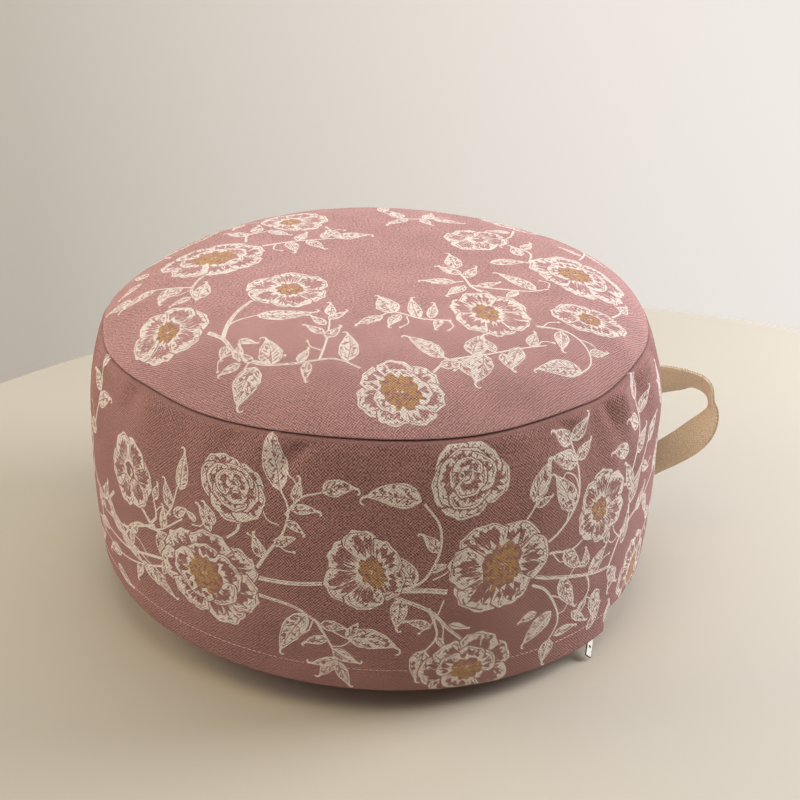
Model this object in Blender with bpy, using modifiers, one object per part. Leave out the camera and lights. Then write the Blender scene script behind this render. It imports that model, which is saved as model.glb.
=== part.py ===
# Round floor pouf in printed canvas: a filled body whose wall is the side band, a crowned top panel,
# a bottom panel, a carrying strap caught in the band's upright seam, and a zip closed under a lap.
# Metres, +Z up.  The origin is the centre of the flat face it rests on, and the strap points to +X.
# Angles round the pouf are in degrees from -Y, counted towards +X, so the strap stands at 90.
import math
import bpy
import bmesh
from mathutils import Matrix, Vector

# Driving dimensions
BODY_RADIUS = 0.2100         # widest, half way up the side
BULGE_HEIGHT = 0.1087        # height of the widest ring
SEAM_RADIUS = 0.1979         # seam between the top panel and the side band
SEAM_HEIGHT = 0.2060
CROWN_RISE = 0.0356          # middle of the top above its seam
CROWN_POWER = 5.2            # flat in the middle, steep at the seam
UPPER_DRAW = 3.4             # how late the wall draws in towards the top seam
LOWER_DRAW = 2.0             # the same towards the hem
HEM_RADIUS = 0.2032          # outside of the side band's hem
HEM_HEIGHT = 0.0190          # mean height of the hem's lower edge
HEM_TILT = 0.0105            # how much lower the hem hangs on its low side
LOW_SIDE = 83.0              # direction of that side
BASE_SEAM_RADIUS = 0.1945    # seam between the side band and the bottom panel
BASE_SEAM_HEIGHT = 0.0265
BASE_SEAM_TILT = 0.0050
REST_RADIUS = 0.1450         # flat part of the bottom panel
BELLY_POWER = 1.7            # how the bottom panel rises from the flat to its seam
CLOTH = 0.0020               # canvas with its interlining
GAP = 0.0003                 # between pieces that touch
SEAM_LINE = 0.0009           # open line between two panels at their seam
HEM_THICKNESS = 0.0030       # canvas folded double
HEM_ROUNDING = 0.0009        # softness of the hem's two lower edges
LAP_GAP = 0.0044             # room for the zip behind the lap
LAP_DEPTH = 0.0130           # how far up behind the lap that room reaches
LAP_START = -121.0           # the lap covers the zip from here
LAP_END = 50.2               # to here
LAP_CORNER = 1.3             # width of the rounded corner at each end of the lap, in degrees
PLAIN_RISE = 0.0120          # height over which the plain wall curves out of the base seam
STRAP_ANGLE = 90.0
STRAP_WIDTH = 0.0240
STRAP_THICKNESS = 0.0032
STRAP_EDGE = 0.0007          # softness of the strap's long edges
STRAP_STEPS = 32
STRAP_SEWN = 0.20            # share of the strap, at each end, over which its cut turns upright
UPRIGHT_SEAM = 0.0014        # depth of the band's upright seam away from the strap
POCKET_DEPTH = 0.0052        # its depth where an end of the strap goes in
POCKET_RAMP = 0.0045         # height over which one depth turns into the other
SEAM_FLOOR = 0.58            # half width of the upright seam's floor, in degrees
SEAM_MOUTH = 0.82            # half width at the wall's face
SEAM_SHOULDER = 2.2          # where the wall beside it is plain again
FOLD_FADE = 0.0120           # folds and the upright seam run out over this height below the top seam
COLUMNS = 64                 # sections round the body

# Where the top seam leaves its mean height: the cushion has soft corners.
SEAM_WAVES = (
    {"angle": -82.0, "spread": 10.0, "rise": -0.0034},
    {"angle": -55.0, "spread": 9.0, "rise": 0.0023},
    {"angle": -17.0, "spread": 16.0, "rise": 0.0016},
    {"angle": 14.0, "spread": 12.0, "rise": -0.0014},
    {"angle": 43.0, "spread": 6.0, "rise": -0.0019},
    {"angle": 60.0, "spread": 8.0, "rise": 0.0022},
    {"angle": 112.0, "spread": 17.0, "rise": 0.0046},
    {"angle": 150.0, "spread": 12.0, "rise": -0.0012},
    {"angle": 184.0, "spread": 14.0, "rise": 0.0010},
    {"angle": 236.0, "spread": 20.0, "rise": -0.0028},
)

# Soft folds in the wall: troughs push in, ridges push out.
WALL_FOLDS = (
    {"angle": -24.0, "height": 0.190, "spread": 5.5, "tall": 0.016, "push": -0.0016},
    {"angle": 38.5, "height": 0.186, "spread": 4.0, "tall": 0.022, "push": -0.0024},
    {"angle": 46.0, "height": 0.176, "spread": 3.6, "tall": 0.030, "push": 0.0020},
    {"angle": 54.0, "height": 0.172, "spread": 4.0, "tall": 0.026, "push": -0.0026},
    {"angle": -80.0, "height": 0.186, "spread": 6.0, "tall": 0.020, "push": 0.0020},
    {"angle": 73.0, "height": 0.166, "spread": 9.0, "tall": 0.030, "push": 0.0022},
    {"angle": 83.0, "height": 0.146, "spread": 4.5, "tall": 0.016, "push": -0.0022},
    {"angle": 97.0, "height": 0.146, "spread": 4.5, "tall": 0.016, "push": -0.0022},
    {"angle": 83.5, "height": 0.070, "spread": 4.5, "tall": 0.018, "push": -0.0018},
    {"angle": 96.5, "height": 0.070, "spread": 4.5, "tall": 0.018, "push": -0.0018},
    {"angle": 138.0, "height": 0.180, "spread": 6.0, "tall": 0.024, "push": -0.0020},
    {"angle": 190.0, "height": 0.176, "spread": 6.5, "tall": 0.026, "push": -0.0018},
    {"angle": 236.0, "height": 0.182, "spread": 6.0, "tall": 0.020, "push": -0.0020},
)

# Heights between which the upright seam holds each end of the strap.
STRAP_POCKETS = (
    {"low": 0.0520, "high": 0.0865},
    {"low": 0.1315, "high": 0.1610},
)

# Middle line of the strap: distance from the axis, distance behind the upright seam, height,
# and how far the strap's face has turned from the side towards the hand, in degrees.
STRAP_ROUTE = (
    {"out": 0.2053, "behind": 0.0000, "height": 0.1455, "turn": 0.0},
    {"out": 0.2180, "behind": 0.0003, "height": 0.1450, "turn": 8.0},
    {"out": 0.2325, "behind": 0.0016, "height": 0.1430, "turn": 24.0},
    {"out": 0.2455, "behind": 0.0034, "height": 0.1395, "turn": 42.0},
    {"out": 0.2535, "behind": 0.0040, "height": 0.1335, "turn": 66.0},
    {"out": 0.2588, "behind": 0.0020, "height": 0.1250, "turn": 92.0},
    {"out": 0.2590, "behind": -0.0020, "height": 0.1162, "turn": 90.0},
    {"out": 0.2530, "behind": -0.0046, "height": 0.1056, "turn": 66.0},
    {"out": 0.2430, "behind": -0.0046, "height": 0.0950, "turn": 34.0},
    {"out": 0.2310, "behind": -0.0028, "height": 0.0856, "turn": 14.0},
    {"out": 0.2185, "behind": -0.0008, "height": 0.0774, "turn": 4.0},
    {"out": 0.2053, "behind": 0.0000, "height": 0.0692, "turn": 0.0},
)

# Zip slider and its pull, which hangs out from under the lap near the lap's +X end.
SLIDER = {"angle": 46.0, "radius": 0.1980, "above_hem": 0.0062}
SLIDER_BODY = {"length": 0.0090, "depth": 0.0032, "height": 0.0062, "rounding": 0.0006}
PULL = {"width": 0.0050, "thickness": 0.0013, "rounding": 0.0004}
PULL_HOLE = {"radius": 0.0011, "from_tip": 0.0080, "sides": 16}
PULL_TOP = {"angle": 46.0, "radius": 0.1979, "height": 0.0110}
PULL_TIP = {"angle": 41.8, "radius": 0.2060, "height": 0.0030}

# Places across a panel, 1 at its seam, where its section has a point.
CROWN_SHARES = (1.0, 0.985, 0.960, 0.920, 0.865, 0.790, 0.680, 0.500, 0.250)
BELLY_SHARES = (1.0, 0.90, 0.74, 0.52, 0.28)

# Heights of the wall's points above its foot; the last one is the top seam.
WALL_LEVELS = (0.0475, 0.0520, 0.0695, 0.0865, 0.0910, 0.1080, 0.1270, 0.1315,
               0.1465, 0.1610, 0.1655, 0.1770, 0.1870, 0.1950, 0.2000)


def clear_scene():
    for obj in list(bpy.data.objects):
        bpy.data.objects.remove(obj, do_unlink=True)


def make_collection(name):
    collection = bpy.data.collections.new(name)
    bpy.context.scene.collection.children.link(collection)
    return collection


def make_material(name, colour, roughness, metallic=0.0):
    material = bpy.data.materials.new(name)
    material.use_nodes = True
    shader = material.node_tree.nodes["Principled BSDF"]
    shader.inputs["Base Color"].default_value = colour
    shader.inputs["Roughness"].default_value = roughness
    shader.inputs["Metallic"].default_value = metallic
    return material


def add_object(name, work, collection, material=None):
    # Turns a finished bmesh into an object.
    mesh = bpy.data.meshes.new(name)
    work.to_mesh(mesh)
    work.free()
    mesh.shade_smooth()
    mesh.set_sharp_from_angle(angle=math.radians(38.0))
    if material is not None:
        mesh.materials.append(material)
    obj = bpy.data.objects.new(name, mesh)
    collection.objects.link(obj)
    return obj


def turn_between(angle, centre):
    # Shortest signed turn from centre to angle, in degrees.
    return (angle - centre + 180.0) % 360.0 - 180.0


def bell(distance, spread):
    return math.exp(-(distance / spread) ** 2)


def smooth(value):
    value = min(max(value, 0.0), 1.0)
    return value * value * (3.0 - 2.0 * value)


def point_at(angle, radius, height):
    turn = math.radians(angle)
    return Vector((radius * math.sin(turn), -radius * math.cos(turn), height))


def seam_height(angle):
    return SEAM_HEIGHT + sum(row["rise"] * bell(turn_between(angle, row["angle"]), row["spread"])
                             for row in SEAM_WAVES)


def hem_height(angle):
    return HEM_HEIGHT - HEM_TILT * math.cos(math.radians(angle - LOW_SIDE))


def base_seam_height(angle):
    return BASE_SEAM_HEIGHT - BASE_SEAM_TILT * math.cos(math.radians(angle - LOW_SIDE))


def lap_share(angle):
    # 1 where the lap hangs over the zip, 0 where the band runs plainly into the base seam.
    middle = 0.5 * (LAP_START + LAP_END)
    half = 0.5 * (LAP_END - LAP_START)
    return smooth((half - abs(turn_between(angle, middle))) / LAP_CORNER)


def column_angles():
    # Even steps, with more where the upright seam and the ends of the lap need them.
    angles = [360.0 * step / COLUMNS for step in range(COLUMNS)]
    for offset in (SEAM_FLOOR, SEAM_MOUTH, SEAM_SHOULDER):
        angles += [STRAP_ANGLE - offset, STRAP_ANGLE + offset]
    for share in (0.0, 0.3, 0.65, 1.0):
        angles += [(LAP_START + share * LAP_CORNER) % 360.0, (LAP_END - share * LAP_CORNER) % 360.0]
    return sorted(angles)


def wall_push(angle, height):
    return sum(row["push"] * bell(turn_between(angle, row["angle"]), row["spread"])
               * bell(height - row["height"], row["tall"]) for row in WALL_FOLDS)


def upright_seam(angle, height):
    # The band's closing seam, deeper where the two ends of the strap are caught in it.
    away = abs(turn_between(angle, STRAP_ANGLE))
    depth = UPRIGHT_SEAM
    for row in STRAP_POCKETS:
        inside = min(height - row["low"], row["high"] - height)
        depth = max(depth, POCKET_DEPTH * min(1.0 + inside / POCKET_RAMP, 1.0))
    return depth * smooth((SEAM_MOUTH - away) / (SEAM_MOUTH - SEAM_FLOOR))


def wall_radius(angle, height):
    if height >= BULGE_HEIGHT:
        share = (height - BULGE_HEIGHT) / (seam_height(angle) - BULGE_HEIGHT)
        radius = BODY_RADIUS - (BODY_RADIUS - SEAM_RADIUS) * share ** UPPER_DRAW
    else:
        share = (BULGE_HEIGHT - height) / (BULGE_HEIGHT - HEM_HEIGHT)
        radius = BODY_RADIUS - (BODY_RADIUS - HEM_RADIUS) * share ** LOWER_DRAW
    fade = smooth((seam_height(angle) - height) / FOLD_FADE)
    return radius + (wall_push(angle, height) - upright_seam(angle, height)) * fade


def crown_profile(angle):
    # Outside of the top panel, from its seam to the last ring before the axis.
    profile = []
    for share in CROWN_SHARES:
        fade = share ** CROWN_POWER
        height = SEAM_HEIGHT + (seam_height(angle) - SEAM_HEIGHT) * fade + CROWN_RISE * (1.0 - fade)
        profile.append((SEAM_RADIUS * share, height))
    return profile


def belly_profile(angle):
    # Outside of the bottom panel, from its seam to the flat and the last ring before the axis.
    edge = BASE_SEAM_RADIUS - SEAM_LINE
    top = base_seam_height(angle) - SEAM_LINE
    profile = [(REST_RADIUS + (edge - REST_RADIUS) * share, top * share ** BELLY_POWER)
               for share in BELLY_SHARES]
    return profile + [(REST_RADIUS, 0.0), (0.5 * REST_RADIUS, 0.0)]


def inset(profile, depth, side):
    # The profile moved square to itself: side 1 moves a crown down, -1 moves a belly up.
    moved = []
    for index, (radius, height) in enumerate(profile):
        before = profile[max(index - 1, 0)]
        after = profile[min(index + 1, len(profile) - 1)]
        across = after[0] - before[0]
        along = after[1] - before[1]
        reach = side * depth / math.hypot(across, along)
        moved.append((radius - reach * along, height + reach * across))
    return moved


def lap_foot(angle):
    # From the base seam up behind the lap, over the room for the zip, and down round the hem.
    hem = hem_height(angle)
    roof = hem + LAP_DEPTH
    outer = HEM_RADIUS + wall_push(angle, hem)
    inner = outer - HEM_THICKNESS
    back = inner - LAP_GAP
    return (
        (back, base_seam_height(angle)),
        (back, roof - HEM_ROUNDING),
        (back + HEM_ROUNDING, roof),
        (inner - HEM_ROUNDING, roof),
        (inner, roof - HEM_ROUNDING),
        (inner, hem + HEM_ROUNDING),
        (inner + HEM_ROUNDING, hem),
        (outer - HEM_ROUNDING, hem),
        (outer, hem + HEM_ROUNDING),
    )


def plain_foot(angle, count):
    # The band curving straight out of the base seam.
    seam = base_seam_height(angle)
    reach = wall_radius(angle, seam + PLAIN_RISE) - BASE_SEAM_RADIUS
    foot = []
    for index in range(count):
        turn = 0.5 * math.pi * index / (count - 1)
        foot.append((BASE_SEAM_RADIUS + reach * math.sin(turn), seam + PLAIN_RISE * (1.0 - math.cos(turn))))
    return foot


def body_section(angle):
    under = inset(belly_profile(angle), CLOTH + GAP, -1.0)
    share = lap_share(angle)
    lap = lap_foot(angle)
    foot = [(plain[0] + (hung[0] - plain[0]) * share, plain[1] + (hung[1] - plain[1]) * share)
            for plain, hung in zip(plain_foot(angle, len(lap)), lap)]
    heights = list(WALL_LEVELS) + [seam_height(angle) - SEAM_LINE]
    wall = [(wall_radius(angle, height), height) for height in heights]
    top = inset(crown_profile(angle), CLOTH + GAP, 1.0)
    return under[::-1] + foot + wall + top


def loft_round(name, sections, bottom, top, collection, material):
    # Closed body with one section at each column angle, between two points on the axis.
    # A section runs from the bottom point out, up the outside and in to the top point.
    work = bmesh.new()
    low = work.verts.new((0.0, 0.0, bottom))
    high = work.verts.new((0.0, 0.0, top))
    rings = [[work.verts.new(point_at(angle, radius, height)) for radius, height in section]
             for angle, section in sections]
    for here, there in zip(rings, rings[1:] + rings[:1]):
        work.faces.new((low, there[0], here[0]))
        work.faces.new((high, here[-1], there[-1]))
        for row in range(len(here) - 1):
            work.faces.new((here[row], there[row], there[row + 1], here[row + 1]))
    bmesh.ops.recalc_face_normals(work, faces=work.faces)
    return add_object(name, work, collection, material)


def make_body(collection, material, angles):
    sections = [(angle, body_section(angle)) for angle in angles]
    top = SEAM_HEIGHT + CROWN_RISE - CLOTH - GAP
    return loft_round("side_band_filled", sections, CLOTH + GAP, top, collection, material)


def make_top_panel(collection, material, angles):
    sections = []
    for angle in angles:
        outside = crown_profile(angle)
        sections.append((angle, inset(outside, CLOTH, 1.0)[::-1] + outside))
    top = SEAM_HEIGHT + CROWN_RISE
    return loft_round("top_panel", sections, top - CLOTH, top, collection, material)


def make_bottom_panel(collection, material, angles):
    sections = []
    for angle in angles:
        outside = belly_profile(angle)
        sections.append((angle, outside[::-1] + inset(outside, CLOTH, -1.0)))
    return loft_round("bottom_panel", sections, 0.0, CLOTH, collection, material)


def strap_row(step):
    # Place and turn on the smooth curve through the route's rows, step from 0 to 1.
    rows = [Vector((row["out"], row["behind"], row["height"], row["turn"])) for row in STRAP_ROUTE]
    place = min(max(step, 0.0), 1.0) * (len(rows) - 1)
    index = min(int(place), len(rows) - 2)
    share = place - index
    here, there = rows[index], rows[index + 1]
    before = rows[index - 1] if index > 0 else 2.0 * here - there
    after = rows[index + 2] if index + 2 < len(rows) else 2.0 * there - here
    bend = (2.0 * before - 5.0 * here + 4.0 * there - after) * share ** 2
    sway = (3.0 * here - before - 3.0 * there + after) * share ** 3
    return 0.5 * (2.0 * here + (there - before) * share + bend + sway)


def make_strap(collection, material):
    # A flat strap, upright where its ends are caught and turned flat to the hand at its bend.
    half = 0.5 * STRAP_WIDTH
    thin = 0.5 * STRAP_THICKNESS
    near, low = half - STRAP_EDGE, thin - STRAP_EDGE
    outline = ((-half, -low), (-near, -thin), (near, -thin), (half, -low),
               (half, low), (near, thin), (-near, thin), (-half, low))
    work = bmesh.new()
    rings = []
    for index in range(STRAP_STEPS + 1):
        step = index / STRAP_STEPS
        row = strap_row(step)
        along = (strap_row(step + 0.01) - strap_row(step - 0.01)).to_3d().normalized()
        sideways = Vector((0.0, -1.0, 0.0))
        sideways = (sideways - along * sideways.dot(along)).normalized()
        turn = math.radians(row[3])
        face = sideways * math.cos(turn) + along.cross(sideways) * math.sin(turn)
        across = along.cross(face)
        sewn = smooth(1.0 - min(step, 1.0 - step) / STRAP_SEWN)
        if sewn > 0.0:
            across -= along * (sewn * across.x / along.x)
        rings.append([work.verts.new(row.to_3d() + across * u + face * v) for u, v in outline])
    for first, second in zip(rings, rings[1:]):
        for corner in range(len(outline)):
            after = (corner + 1) % len(outline)
            work.faces.new((first[corner], first[after], second[after], second[corner]))
    work.faces.new(rings[0])
    work.faces.new(rings[-1])
    bmesh.ops.recalc_face_normals(work, faces=work.faces)
    return add_object("handle_strap", work, collection, material)


def make_block(name, size, rounding, collection, material):
    work = bmesh.new()
    bmesh.ops.create_cube(work, size=1.0)
    bmesh.ops.scale(work, verts=work.verts, vec=Vector(size))
    block = add_object(name, work, collection, material)
    bevel = block.modifiers.new("rounded_edges", "BEVEL")
    bevel.width = rounding
    bevel.segments = 2
    return block


def make_slider(collection, material):
    size = (SLIDER_BODY["length"], SLIDER_BODY["depth"], SLIDER_BODY["height"])
    slider = make_block("zip_slider", size, SLIDER_BODY["rounding"], collection, material)
    height = hem_height(SLIDER["angle"]) + SLIDER["above_hem"]
    slider.location = point_at(SLIDER["angle"], SLIDER["radius"], height)
    slider.rotation_euler = (0.0, 0.0, math.radians(SLIDER["angle"]))
    return slider


def make_pull(collection, cutters, material):
    # A flat tab that hangs below the slider and leans out, with a hole near its tip.
    top = point_at(PULL_TOP["angle"], PULL_TOP["radius"], PULL_TOP["height"])
    tip = point_at(PULL_TIP["angle"], PULL_TIP["radius"], PULL_TIP["height"])
    length = (top - tip).length
    rise = (top - tip).normalized()
    width = point_at(PULL_TOP["angle"] + 90.0, 1.0, 0.0)
    width = (width - rise * width.dot(rise)).normalized()
    size = (PULL["width"], PULL["thickness"], length)
    pull = make_block("zip_pull", size, PULL["rounding"], collection, material)
    frame = Matrix((width, rise.cross(width), rise)).transposed()
    pull.rotation_euler = frame.to_euler()
    pull.location = 0.5 * (top + tip)

    work = bmesh.new()
    bmesh.ops.create_cone(work, cap_ends=True, segments=PULL_HOLE["sides"], radius1=PULL_HOLE["radius"],
                          radius2=PULL_HOLE["radius"], depth=4.0 * PULL["thickness"])
    cutter = add_object("pull_hole_cutter", work, cutters)
    cutter.rotation_euler = (frame @ Matrix.Rotation(math.radians(90.0), 3, "X")).to_euler()
    cutter.location = tip + rise * PULL_HOLE["from_tip"]
    cutter.hide_render = True
    cutter.display_type = "WIRE"
    hole = pull.modifiers.new("hole", "BOOLEAN")
    hole.operation = "DIFFERENCE"
    hole.solver = "EXACT"
    hole.object = cutter
    return pull


def main():
    clear_scene()
    parts = make_collection("floor_pouf")
    cutters = make_collection("cutters")
    rose = make_material("rose_canvas", (0.42, 0.20, 0.19, 1.0), 0.9)
    rose_top = make_material("rose_canvas_top", (0.46, 0.23, 0.22, 1.0), 0.9)
    rose_base = make_material("rose_canvas_base", (0.36, 0.17, 0.16, 1.0), 0.9)
    ecru = make_material("ecru_canvas_strap", (0.62, 0.52, 0.41, 1.0), 0.85)
    zinc = make_material("zinc_slider", (0.55, 0.55, 0.53, 1.0), 0.35, 1.0)
    bright = make_material("nickel_pull", (0.66, 0.65, 0.62, 1.0), 0.3, 1.0)
    angles = column_angles()
    make_body(parts, rose, angles)
    make_top_panel(parts, rose_top, angles)
    make_bottom_panel(parts, rose_base, angles)
    make_strap(parts, ecru)
    make_slider(parts, zinc)
    make_pull(parts, cutters, bright)


main()
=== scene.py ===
import math
import random
import bpy
import bmesh
import numpy as np
from mathutils import Matrix, Vector, geometry


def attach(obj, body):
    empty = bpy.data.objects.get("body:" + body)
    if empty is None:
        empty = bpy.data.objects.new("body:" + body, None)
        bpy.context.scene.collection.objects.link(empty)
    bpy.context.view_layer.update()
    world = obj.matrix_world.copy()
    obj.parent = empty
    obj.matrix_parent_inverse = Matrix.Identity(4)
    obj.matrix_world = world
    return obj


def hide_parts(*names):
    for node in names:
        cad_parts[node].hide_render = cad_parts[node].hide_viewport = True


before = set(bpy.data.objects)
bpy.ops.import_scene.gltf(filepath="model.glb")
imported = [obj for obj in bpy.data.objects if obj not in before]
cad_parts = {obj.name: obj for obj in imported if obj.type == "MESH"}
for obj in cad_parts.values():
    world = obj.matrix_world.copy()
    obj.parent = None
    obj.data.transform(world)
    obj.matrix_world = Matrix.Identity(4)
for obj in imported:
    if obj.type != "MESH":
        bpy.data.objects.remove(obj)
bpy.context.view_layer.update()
print("frame loaded")

# Angles go round the pouf in degrees from -Y, counted towards +X; the strap stands at 90.
# Lengths of the body are metres, and the print is laid out in flat millimetres of cloth.
body = {
    "radius": 0.2100, "bulge": 0.1087, "seamRadius": 0.1979, "seamHeight": 0.2060, "rise": 0.0356,
    "power": 5.2, "upperDraw": 3.4, "lowerDraw": 2.0, "hemRadius": 0.2032, "hemHeight": 0.0190,
    "hemTilt": 0.0105, "lowSide": 83.0, "baseRadius": 0.1945, "baseHeight": 0.0265, "baseTilt": 0.0050,
    "rest": 0.1450, "bellyPower": 1.7, "cloth": 0.0020, "hem": 0.0030, "lapGap": 0.0044,
    "lapDepth": 0.0130, "lapStart": -121.0, "lapEnd": 50.2, "lapCorner": 1.3, "plainRise": 0.0120,
    "flatRadius": 208.0,
    # the wall's folds fade out this far below the seam, and the cloth stops this far short of it
    "foldFade": 0.0120, "seamInset": 0.0009,
}
# where the top seam dips and lifts: angle, spread in degrees, rise
seamWaves = (
    (-82.0, 10.0, -0.0034), (-55.0, 9.0, 0.0023), (-17.0, 16.0, 0.0016), (14.0, 12.0, -0.0014),
    (43.0, 6.0, -0.0019), (60.0, 8.0, 0.0022), (112.0, 17.0, 0.0046), (150.0, 12.0, -0.0012),
    (184.0, 14.0, 0.0010), (236.0, 20.0, -0.0028),
)
# angle, height, spread in degrees, spread in height, push
wallFolds = (
    (-24.0, 0.190, 5.5, 0.016, -0.0016), (38.5, 0.186, 4.0, 0.022, -0.0024),
    (46.0, 0.176, 3.6, 0.030, 0.0020), (54.0, 0.172, 4.0, 0.026, -0.0026),
    (-80.0, 0.186, 6.0, 0.020, 0.0020), (73.0, 0.166, 9.0, 0.030, 0.0022),
    (83.0, 0.146, 4.5, 0.016, -0.0022), (97.0, 0.146, 4.5, 0.016, -0.0022),
    (83.5, 0.070, 4.5, 0.018, -0.0018), (96.5, 0.070, 4.5, 0.018, -0.0018),
    (138.0, 0.180, 6.0, 0.024, -0.0020), (190.0, 0.176, 6.5, 0.026, -0.0018),
    (236.0, 0.182, 6.0, 0.020, -0.0020),
)
upright = {"angle": 90.0, "depth": 0.0014, "pocket": 0.0052, "ramp": 0.0045, "floor": 0.58, "mouth": 0.82,
           "pockets": ((0.0520, 0.0865), (0.1315, 0.1610))}


def turnBetween(angle, centre):
    return (angle - centre + 180.0) % 360.0 - 180.0


def bell(distance, spread):
    return np.exp(-(distance / spread) ** 2)


def smooth(value):
    value = np.clip(value, 0.0, 1.0)
    return value * value * (3.0 - 2.0 * value)


def seamHeight(angle):
    waves = sum(rise * bell(turnBetween(angle, at), spread) for at, spread, rise in seamWaves)
    return body["seamHeight"] + waves


def hemHeight(angle):
    return body["hemHeight"] - body["hemTilt"] * np.cos(np.radians(angle - body["lowSide"]))


def baseSeamHeight(angle):
    return body["baseHeight"] - body["baseTilt"] * np.cos(np.radians(angle - body["lowSide"]))


def lapShare(angle):
    # 1 where the lap hangs over the zip, 0 where the band runs into the base seam
    middle, half = 0.5 * (body["lapStart"] + body["lapEnd"]), 0.5 * (body["lapEnd"] - body["lapStart"])
    return smooth((half - np.abs(turnBetween(angle, middle))) / body["lapCorner"])


def wallPush(angle, height):
    return sum(push * bell(turnBetween(angle, at), spread) * bell(height - level, tall)
               for at, level, spread, tall, push in wallFolds)


def uprightSeam(angle, height):
    # the band's closing seam, deeper where the strap's ends are caught in it
    away = np.abs(turnBetween(angle, upright["angle"]))
    depth = np.full(np.shape(height), upright["depth"])
    for low, high in upright["pockets"]:
        inside = np.minimum(height - low, high - height)
        depth = np.maximum(depth, upright["pocket"] * np.minimum(1.0 + inside / upright["ramp"], 1.0))
    return depth * smooth((upright["mouth"] - away) / (upright["mouth"] - upright["floor"]))


def wallRadius(angle, height):
    seam = seamHeight(angle)
    upper = np.clip((height - body["bulge"]) / (seam - body["bulge"]), 0.0, None)
    lower = np.clip((body["bulge"] - height) / (body["bulge"] - body["hemHeight"]), 0.0, None)
    radius = body["radius"] - (body["radius"] - body["seamRadius"]) * upper ** body["upperDraw"]
    radius = radius - (body["radius"] - body["hemRadius"]) * lower ** body["lowerDraw"]
    fade = smooth((seam - height) / body["foldFade"])
    return radius + (wallPush(angle, height) - uprightSeam(angle, height)) * fade


def crownHeight(angle, share):
    fade = share ** body["power"]
    return body["seamHeight"] + (seamHeight(angle) - body["seamHeight"]) * fade + body["rise"] * (1.0 - fade)


def crownInset(angle, share, depth):
    # radius and height of the crown moved square to itself
    step = 0.004
    radius, height = body["seamRadius"] * share, crownHeight(angle, share)
    across = body["seamRadius"] * 2.0 * step
    along = crownHeight(angle, share + step) - crownHeight(angle, np.maximum(share - step, 0.0))
    length = np.hypot(across, along)
    return radius + depth * along / length, height - depth * across / length


def bellyInset(angle, share, depth):
    # the same for the bottom panel, share 0 at the axis and 1 at its seam
    seam = body["baseRadius"] - body["seamInset"]

    def belly(value):
        radius = value * seam
        rise = np.clip((radius - body["rest"]) / (seam - body["rest"]), 0.0, None)
        return radius, (baseSeamHeight(angle) - body["seamInset"]) * rise ** body["bellyPower"]
    step = 0.004
    radius, height = belly(share)
    above, below = belly(share + step), belly(np.maximum(share - step, 0.0))
    across, along = above[0] - below[0], above[1] - below[1]
    length = np.hypot(across, along)
    return radius - depth * along / length, height + depth * across / length


def roundPoint(angle, radius, height):
    turn = np.radians(angle)
    return np.stack([radius * np.sin(turn), -radius * np.cos(turn), height + 0.0 * radius], axis=-1)


def linear(code):
    # sRGB hex to linear colour
    parts = [int(code[k:k + 2], 16) / 255 for k in (0, 2, 4)]
    return tuple(c / 12.92 if c <= 0.04045 else ((c + 0.055) / 1.055) ** 2.4 for c in parts) + (1.0,)


def latticeNormals(points, wrap):
    # normals of a lattice of points, columns first; wrap closes the columns
    def tangent(grid, closed):
        ahead = np.roll(grid, -1, axis=0) - grid
        behind = grid - np.roll(grid, 1, axis=0)
        if closed:
            # the first and last columns are the same place
            ahead[-1] = grid[1] - grid[-1]
            behind[0] = grid[0] - grid[-2]
        else:
            ahead[-1], behind[0] = behind[-1], ahead[0]
        far = np.linalg.norm(ahead, axis=-1, keepdims=True) + 1e-9
        near = np.linalg.norm(behind, axis=-1, keepdims=True) + 1e-9
        return ahead / far * near / (near + far) + behind / near * far / (near + far)
    across = tangent(points, wrap)
    along = tangent(np.swapaxes(points, 0, 1), False).swapaxes(0, 1)
    normals = np.cross(across, along)
    length = np.linalg.norm(normals, axis=-1, keepdims=True)
    return normals / np.maximum(length, 1e-12)


def readLattice(grid, columns, rows, x, y):
    i = np.clip(np.searchsorted(columns, x, side="right") - 1, 0, len(columns) - 2)
    j = np.clip(np.searchsorted(rows, y, side="right") - 1, 0, len(rows) - 2)
    s = np.clip((x - columns[i]) / (columns[i + 1] - columns[i]), 0, 1)[:, None]
    t = np.clip((y - rows[j]) / (rows[j + 1] - rows[j]), 0, 1)[:, None]
    low = grid[i, j] * (1 - s) + grid[i + 1, j] * s
    high = grid[i, j + 1] * (1 - s) + grid[i + 1, j + 1] * s
    return low * (1 - t) + high * t


def insideShape(shape, x, y):
    # which places lie in the shape, by how often its edge winds round them
    wound = np.zeros(len(x), dtype=int)
    for (x0, y0), (x1, y1) in zip(shape, shape[1:] + shape[:1]):
        left = (x1 - x0) * (y - y0) - (x - x0) * (y1 - y0)
        wound += (y0 <= y) & (y1 > y) & (left > 0)
        wound -= (y0 > y) & (y1 <= y) & (left < 0)
    return wound != 0


inkSlots = {"cloth": 0, "cream": 1, "ochre": 2, "hatched": 3}


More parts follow.
